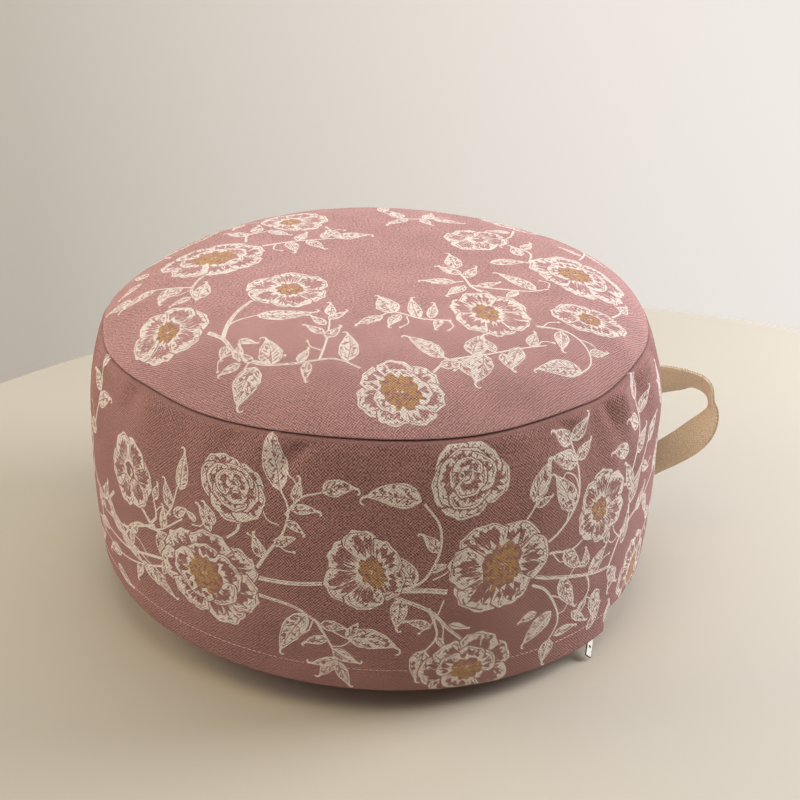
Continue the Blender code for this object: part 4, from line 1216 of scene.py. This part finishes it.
# strap: canvas folded double, upright where it is sewn in and turned flat to the hand at its bend
strap = {
    "width": 0.0240, "layer": 0.00150, "seam": 0.0002, "edge": 0.00055, "steps": 96, "sewn": 0.20,
    # distance from the axis, distance behind the upright seam, height, turn of the face
    "route": (
        (0.2053, 0.0000, 0.1455, 0.0), (0.2180, 0.0003, 0.1450, 8.0), (0.2325, 0.0016, 0.1430, 24.0),
        (0.2455, 0.0034, 0.1395, 42.0), (0.2535, 0.0040, 0.1335, 66.0), (0.2588, 0.0020, 0.1250, 92.0),
        (0.2590, -0.0020, 0.1162, 90.0), (0.2530, -0.0046, 0.1056, 66.0), (0.2430, -0.0046, 0.0950, 34.0),
        (0.2310, -0.0028, 0.0856, 14.0), (0.2185, -0.0008, 0.0774, 4.0), (0.2053, 0.0000, 0.0692, 0.0),
    ),
}


def strapRow(step):
    rows = [Vector(row) for row in strap["route"]]
    place = min(max(step, 0.0), 1.0) * (len(rows) - 1)
    index = min(int(place), len(rows) - 2)
    share = place - index
    here, there = rows[index], rows[index + 1]
    before = rows[index - 1] if index > 0 else 2.0 * here - there
    after = rows[index + 2] if index + 2 < len(rows) else 2.0 * there - here
    bend = (2.0 * before - 5.0 * here + 4.0 * there - after) * share ** 2
    sway = (3.0 * here - before - 3.0 * there + after) * share ** 3
    return 0.5 * (2.0 * here + (there - before) * share + bend + sway)


def strapFrame(step):
    # place, across and face of the strap at step, 0 at its upper end and 1 at its lower
    row = strapRow(step)
    along = (strapRow(step + 0.01) - strapRow(step - 0.01)).to_3d().normalized()
    sideways = Vector((0.0, -1.0, 0.0))
    sideways = (sideways - along * sideways.dot(along)).normalized()
    turn = math.radians(row[3])
    face = sideways * math.cos(turn) + along.cross(sideways) * math.sin(turn)
    across = along.cross(face)
    sewn = float(smooth(1.0 - min(step, 1.0 - step) / strap["sewn"]))
    if sewn > 0.0:
        across = across - along * (sewn * across.x / along.x)
    return row.to_3d(), along, across, face


def strapOutline():
    # two layers with rounded edges; the fold closes one long edge, a groove parts them at the other
    half, layer, edge = 0.5 * strap["width"], strap["layer"], strap["edge"]
    groove, gap = 0.0011, strap["seam"]
    upper = [(-half + groove, gap), (-half + 0.5 * edge, gap), (-half, edge), (-half, layer - edge * 0.6),
             (-half + edge, layer)]
    upper += [(-half * s, layer + 0.00008 * math.sin(9.0 * s))
              for s in (0.75, 0.45, 0.15, -0.15, -0.45, -0.75)]
    upper += [(half - edge, layer), (half, layer - edge * 0.6), (half, edge), (half - 0.5 * edge, gap),
              (half - groove, gap)]
    return upper + [(u, -v) for u, v in upper[::-1]]


def makeStrap(material):
    outline = strapOutline()
    work = bmesh.new()
    ring = None
    lengths, travelled, last = [], 0.0, None
    for index in range(strap["steps"] + 1):
        step = index / strap["steps"]
        place, along, across, face = strapFrame(step)
        travelled += (place - last).length if last else 0.0
        last = place
        spots = [place + across * u + face * v for u, v in outline]
        if ring is None:
            ring = [work.verts.new(p) for p in spots]
            edges = [work.edges.new((a, b)) for a, b in zip(ring, ring[1:] + ring[:1])]
        else:
            grown = bmesh.ops.extrude_edge_only(work, edges=edges)["geom"]
            ring = [g for g in grown if isinstance(g, bmesh.types.BMVert)]
            edges = [g for g in grown if isinstance(g, bmesh.types.BMEdge)
                     and all(v in ring for v in g.verts)]
            for vert, p in zip(ring, spots):
                vert.co = p
        lengths.append(travelled)
    work.verts.index_update()
    work.verts.ensure_lookup_table()
    bmesh.ops.holes_fill(work, edges=[e for e in work.edges if e.is_boundary], sides=0)
    bmesh.ops.recalc_face_normals(work, faces=work.faces)
    layer = work.loops.layers.uv.new("cloth")
    count = len(outline)
    for face in work.faces:
        for loop in face.loops:
            k = loop.vert.index
            loop[layer].uv = (outline[k % count][0], lengths[min(k // count, strap["steps"])])
    mesh = smoothMesh(work, "strap", material, 60.0)
    piece = addPiece("carryingStrap", mesh)
    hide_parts("handle_strap")
    print("strap", len(mesh.polygons), "faces, length", round(lengths[-1], 4))


# topstitching along the hem, where the lap covers the zip: height, length, gap and wander in
# millimetres, thread and its lift off the cloth in metres, degrees kept clear of the lap's ends
topstitch = {"height": 18.5, "long": 3.0, "gap": 0.9, "wander": (0.15, 0.12), "thread": 0.00055,
             "lift": 0.00008, "clear": 1.2}


def hemStitches():
    # middle, direction and outward normal of each stitch; the direction is as long as the stitch
    step = topstitch["long"] + topstitch["gap"]
    first = math.radians(body["lapStart"] + topstitch["clear"]) * body["flatRadius"]
    last = math.radians(body["lapEnd"] - topstitch["clear"]) * body["flatRadius"]
    rng = random.Random(5)
    sideways, upwards = topstitch["wander"]
    count = int((last - first) / step)
    for x in [first + step * (k + 0.5) + rng.uniform(-sideways, sideways) for k in range(count)]:
        y = topstitch["height"] + rng.uniform(-upwards, upwards)
        ends = bandWarp([(x - 0.5 * topstitch["long"], y), (x, y), (x + 0.5 * topstitch["long"], y)])
        places, normals = bandPlace(*np.array(ends).T)
        start, middle, end = (Vector(p) for p in places)
        normal = Vector(normals[1])
        yield middle + normal * topstitch["lift"], end - start, normal


def makeStitches(material):
    work = bmesh.new()
    count, thick = 0, 0.5 * topstitch["thread"]
    for place, along, normal in hemStitches():
        side = along.cross(normal).normalized()
        turn = Matrix((side, along.normalized(), normal.normalized())).transposed().to_4x4()
        half = Matrix.Diagonal((thick, 0.5 * along.length, thick, 1.0))
        turn = Matrix.Translation(place) @ turn @ half @ Matrix.Rotation(math.pi / 2, 4, "X")
        bmesh.ops.create_uvsphere(work, u_segments=8, v_segments=6, radius=1.0, matrix=turn)
        count += 1
    piece = addPiece("hemStitches", smoothMesh(work, "hemStitches", material))
    print("hem,", count, "stitches")


def addNode(tree, kind, settings=(), links=()):
    # settings are (socket or property, value) and links (socket, the socket it comes from)
    node = tree.nodes.new(kind)
    for name, value in settings:
        if isinstance(name, str) and hasattr(node, name):
            setattr(node, name, value)
        else:
            node.inputs[name].default_value = value
    for name, source in links:
        tree.links.new(source, node.inputs[name])
    return node


def newMaterial(name):
    material = bpy.data.materials.new(name)
    material.use_nodes = True
    return material, material.node_tree.nodes["Principled BSDF"]


def weaveHeight(tree, pitch):
    # plain weave: threads both ways, each over one and under the next, wandering a little
    uv = addNode(tree, "ShaderNodeUVMap", (("uv_map", "cloth"),)).outputs[0]
    parts = addNode(tree, "ShaderNodeSeparateXYZ", (), ((0, uv),))
    wander = addNode(tree, "ShaderNodeTexNoise", (("Scale", 110.0), ("Detail", 2.0)), (("Vector", uv),))
    shares = addNode(tree, "ShaderNodeSeparateXYZ", (), ((0, wander.outputs["Color"]),))
    waves = []
    for axis in (0, 1):
        moved = addNode(tree, "ShaderNodeMath", (("operation", "MULTIPLY_ADD"), (1, 0.0026)),
                        ((0, shares.outputs[axis]), (2, parts.outputs[axis])))
        turned = addNode(tree, "ShaderNodeMath", (("operation", "MULTIPLY"), (1, math.pi / pitch)),
                         ((0, moved.outputs[0]),))
        wave = addNode(tree, "ShaderNodeMath", (("operation", "SINE"),), ((0, turned.outputs[0]),))
        waves.append(wave.outputs[0])
    over = addNode(tree, "ShaderNodeMath", (("operation", "MULTIPLY"),), ((0, waves[0]), (1, waves[1])))
    return uv, over.outputs[0]


def clothMaterial(name, shadedDyes, pitch, relief, bare=None, cloth=None):
    # the pair of colours is that of the gaps between the threads, dark with painted shade, and of their
    # crowns, pale with painted light; pitch is the threads' in metres; bare is the share of flecks that the
    # ink leaves, and cloth the colours that show in them
    material, shader = newMaterial(name)
    tree = material.node_tree
    uv, over = weaveHeight(tree, pitch)
    slubs = addNode(tree, "ShaderNodeTexNoise", (("Scale", 620.0), ("Detail", 3.0), ("Roughness", 0.7)),
                    (("Vector", uv),)).outputs["Fac"]
    patches = addNode(tree, "ShaderNodeTexNoise", (("Scale", 28.0), ("Detail", 3.0)), (("Vector", uv),))
    # the weave paints shade into the gaps between the threads and light onto their crowns; with the slubs and
    # worn patches it says how much of the lighter colour shows
    share = addNode(tree, "ShaderNodeMath", (("operation", "MULTIPLY_ADD"), (1, 0.45), (2, -0.675)),
                    ((0, over),))
    for source, amount in ((slubs, 2.00), (patches.outputs["Fac"], 0.35)):
        share = addNode(tree, "ShaderNodeMath", (("operation", "MULTIPLY_ADD"), (1, amount)),
                        ((0, source), (2, share.outputs[0])))
    # each mix runs from the painted shade of the gaps to the painted light on the crowns
    dyed = []
    for dark, light in (shadedDyes, cloth) if bare else (shadedDyes,):
        mixed = addNode(tree, "ShaderNodeMix", (("data_type", "RGBA"), ("clamp_factor", True),
                                                (6, linear(dark)), (7, linear(light))),
                        ((0, share.outputs[0]),))
        dyed.append(mixed.outputs[2])
    colour = dyed[0]
    if bare:
        flecks = addNode(tree, "ShaderNodeTexNoise", (("Scale", 330.0), ("Detail", 1.5), ("Distortion", 0.8)),
                         (("Vector", uv),))
        cut = addNode(tree, "ShaderNodeMapRange", (("From Min", bare - 0.02), ("From Max", bare + 0.02)),
                      (("Value", flecks.outputs["Fac"]),))
        flecked = addNode(tree, "ShaderNodeMix", (("data_type", "RGBA"),),
                          ((0, cut.outputs[0]), (6, dyed[1]), (7, dyed[0])))
        colour = flecked.outputs[2]
    height = addNode(tree, "ShaderNodeMath", (("operation", "MULTIPLY_ADD"), (1, 0.8)),
                     ((0, slubs), (2, over)))
    raised = addNode(tree, "ShaderNodeBump", (("Strength", relief), ("Distance", 0.00025)),
                     (("Height", height.outputs[0]),))
    tree.links.new(colour, shader.inputs["Base Color"])
    tree.links.new(raised.outputs[0], shader.inputs["Normal"])
    shader.inputs["Roughness"].default_value = 0.95
    shader.inputs["Diffuse Roughness"].default_value = 0.9
    shader.inputs["Specular IOR Level"].default_value = 0.1
    return material


def plainMaterial(name, colour, roughness, metallic=0.0):
    material, shader = newMaterial(name)
    shader.inputs["Base Color"].default_value = linear(colour)
    shader.inputs["Roughness"].default_value = roughness
    shader.inputs["Metallic"].default_value = metallic
    return material


# Cotton canvas, a plain weave of coarse spun yarn, 1.1 mm from thread to thread, dyed old rose and not
# finished: quite matt. Painted light on the yarns' crowns and painted shade in the gaps between them
# draw the weave, and slubs and worn patches break up the grid. The top's cloth is the same cloth, painted a
# shade paler as a sheen of light on it.
canvas = {"pitch": 0.0011, "relief": 0.6}
# the side's colours of painted gap shade and crown light, and the top's, made paler by a painted sheen
sideShadedDyes, topSheenedDyes = ("593f3d", "d3a19b"), ("765856", "e4b4af")
roseCanvas = clothMaterial("roseCanvas", sideShadedDyes, **canvas)
sheenedTopCanvas = clothMaterial("sheenedTopCanvas", topSheenedDyes, **canvas)
# Pigment ink, screen printed: a thin matt film that sinks into the weave, so the yarns show through
# it, with painted shade in their gaps and painted light on their crowns. Cream covers well, and drawn dry it
# leaves flecks of canvas; the ochre is printed thin.
creamShadedDyes = ("c9bab0", "fbf5ee")
creamInk = clothMaterial("creamInk", creamShadedDyes, **canvas)
ochreInk = clothMaterial("ochreInk", ("93704f", "deb583"), **canvas, bare=0.45, cloth=sideShadedDyes)
sideHatch = clothMaterial("sideHatch", creamShadedDyes, **canvas, bare=0.43, cloth=sideShadedDyes)
# the top's hatching shows the top's canvas, with its painted sheen, in its flecks
topHatch = clothMaterial("topHatch", creamShadedDyes, **canvas, bare=0.43, cloth=topSheenedDyes)
# Ecru canvas, the same weave in finer yarn, unbleached: warm cream, with painted shade in the gaps between
# the yarns and painted light on their crowns, and no shine.
ecruCanvas = clothMaterial("ecruCanvas", ("c8b89d", "f3e7d2"), 0.0009, 0.5)
# Spun polyester thread, dyed pink: soft, with a faint dull shine.
paleThread = plainMaterial("paleThread", "d9b3a8", 0.8)
# Nickel plated on die-cast zinc and tumbled dull: grey, with soft wide reflections.
satinNickel = plainMaterial("satinNickel", "6f6b64", 0.5, 1.0)
print("materials")

makeBand([roseCanvas, creamInk, ochreInk, sideHatch])
makeTop([sheenedTopCanvas, creamInk, ochreInk, topHatch])
makeBottom(roseCanvas)
makeStrap(ecruCanvas)
makeStitches(paleThread)
for name in ("zip_slider", "zip_pull"):
    node = bpy.data.objects[name]
    node.data.materials.clear()
    node.data.materials.append(satinNickel)

# a pale round floor and a wall behind it
stage = {
    "centre": (0.116, -0.1755), "radius": 0.674, "thick": 0.02, "edge": 0.006,
    "wall": 2.2, "aside": 0.3, "size": 6.0,
    # the wall's glow is painted daylight: its dim and bright colours and where it fades across
    "dimGlow": (0.19, 0.17, 0.14, 1.0), "bright": (0.63, 0.61, 0.60, 1.0), "fades": (-0.75, 0.95),
}


def wallMaterial():
    # Painted plaster, matt and even; it glows from warm grey on the left to off-white on the right, a painted
    # light of daylight that falls off to the left.
    material, shader = newMaterial("paleWall")
    tree = material.node_tree
    where = addNode(tree, "ShaderNodeTexCoord")
    parts = addNode(tree, "ShaderNodeSeparateXYZ", (), ((0, where.outputs["Object"]),))
    low, high = stage["fades"]
    share = addNode(tree, "ShaderNodeMapRange", (("From Min", low), ("From Max", high)),
                    (("Value", parts.outputs[0]),))
    glow = addNode(tree, "ShaderNodeMix", (("data_type", "RGBA"), (6, stage["dimGlow"]), (7, stage["bright"])),
                   ((0, share.outputs[0]),))
    tree.links.new(glow.outputs[2], shader.inputs["Emission Color"])
    shader.inputs["Emission Strength"].default_value = 1.0
    shader.inputs["Base Color"].default_value = linear("d5cfc4")
    shader.inputs["Roughness"].default_value = 0.9
    return material


def makeStage():
    # Limed board under matt lacquer: off-white, with only a broad soft shine.
    floorMaterial = plainMaterial("paleFloor", "b4ad9f", 0.6)
    work = bmesh.new()
    bmesh.ops.create_cone(work, cap_ends=True, segments=192, radius1=stage["radius"], radius2=stage["radius"],
                          depth=stage["thick"])
    bmesh.ops.bevel(work, geom=[e for e in work.edges if e.calc_face_angle(0) > 1.0], offset=stage["edge"],
                    segments=4, profile=0.5, affect="EDGES", material=-1)
    floor = bpy.data.objects.new("floor", flatMesh(work, "floor", floorMaterial))
    floor.location = (*stage["centre"], -0.5 * stage["thick"])
    work = bmesh.new()
    bmesh.ops.create_grid(work, x_segments=1, y_segments=1, size=stage["size"])
    wall = bpy.data.objects.new("backdrop", flatMesh(work, "backdrop", wallMaterial()))
    wall.location = (stage["aside"], stage["wall"], 0.0)
    wall.rotation_euler = (math.pi / 2, 0.0, 0.0)
    for piece in (floor, wall):
        bpy.context.scene.collection.objects.link(piece)


# name, place, width, watts, colour, what it points at
lights = (
    ("overheadLight", (0.0, 0.1, 1.7), 1.5, 11.0, (0.6, 0.75, 1.0), (0.0, 0.0, 0.1)),
    ("frontLight", (-0.2, -0.75, 1.7), 1.0, 9.0, (1.0, 0.8, 0.5), (0.0, 0.0, 0.1)),
    ("windowLight", (1.5, 0.2, 0.7), 1.0, 43.0, (0.95, 0.955, 1.0), (0.0, 0.0, 0.1)),
    ("leftLight", (-1.4, 0.2, 0.9), 1.0, 15.5, (1.0, 0.86, 0.6), (0.0, 0.0, 0.1)),
    ("leftFrontLight", (-1.3, -0.9, 0.9), 1.0, 4.0, (0.9, 0.85, 1.0), (0.0, 0.0, 0.1)),
    ("floorBounce", (0.0, -1.7, 0.35), 0.8, 1.4, (1.0, 0.82, 0.45), (0.0, -0.2, 0.0)),
)
view = {"place": (-0.1284, -1.1963, 0.7356), "lens": 81.0, "sensor": 36.0, "heading": -7.0, "tilt": 63.552,
        "roll": 0.0155}


def makeLight(name, at, size, power, colour, target):
    lamp = bpy.data.lights.new(name, "AREA")
    lamp.shape = "DISK"
    lamp.size = size
    lamp.energy = power
    lamp.color = colour
    light = bpy.data.objects.new(name, lamp)
    light.location = at
    light.rotation_mode = "QUATERNION"
    light.rotation_quaternion = (Vector(at) - Vector(target)).to_track_quat("Z", "Y")
    bpy.context.scene.collection.objects.link(light)


def makeCamera():
    camera = bpy.data.cameras.new("camera")
    camera.lens = view["lens"]
    camera.sensor_width = view["sensor"]
    seat = bpy.data.objects.new("camera", camera)
    seat.location = view["place"]
    turn = Matrix.Rotation(math.radians(view["heading"]), 3, "Z")
    turn = turn @ Matrix.Rotation(math.radians(view["tilt"]), 3, "X") @ Matrix.Rotation(view["roll"], 3, "Z")
    seat.rotation_euler = turn.to_euler()
    bpy.context.scene.collection.objects.link(seat)
    bpy.context.scene.camera = seat


makeStage()
for row in lights:
    makeLight(*row)
world = bpy.data.worlds.new("paleRoom")
world.use_nodes = True
background = world.node_tree.nodes["Background"]
background.inputs[0].default_value = (0.97, 0.985, 1.0, 1.0)
background.inputs[1].default_value = 0.12
bpy.context.scene.world = world
bpy.context.scene.view_settings.view_transform = "Standard"
makeCamera()
print("stage, light and camera")
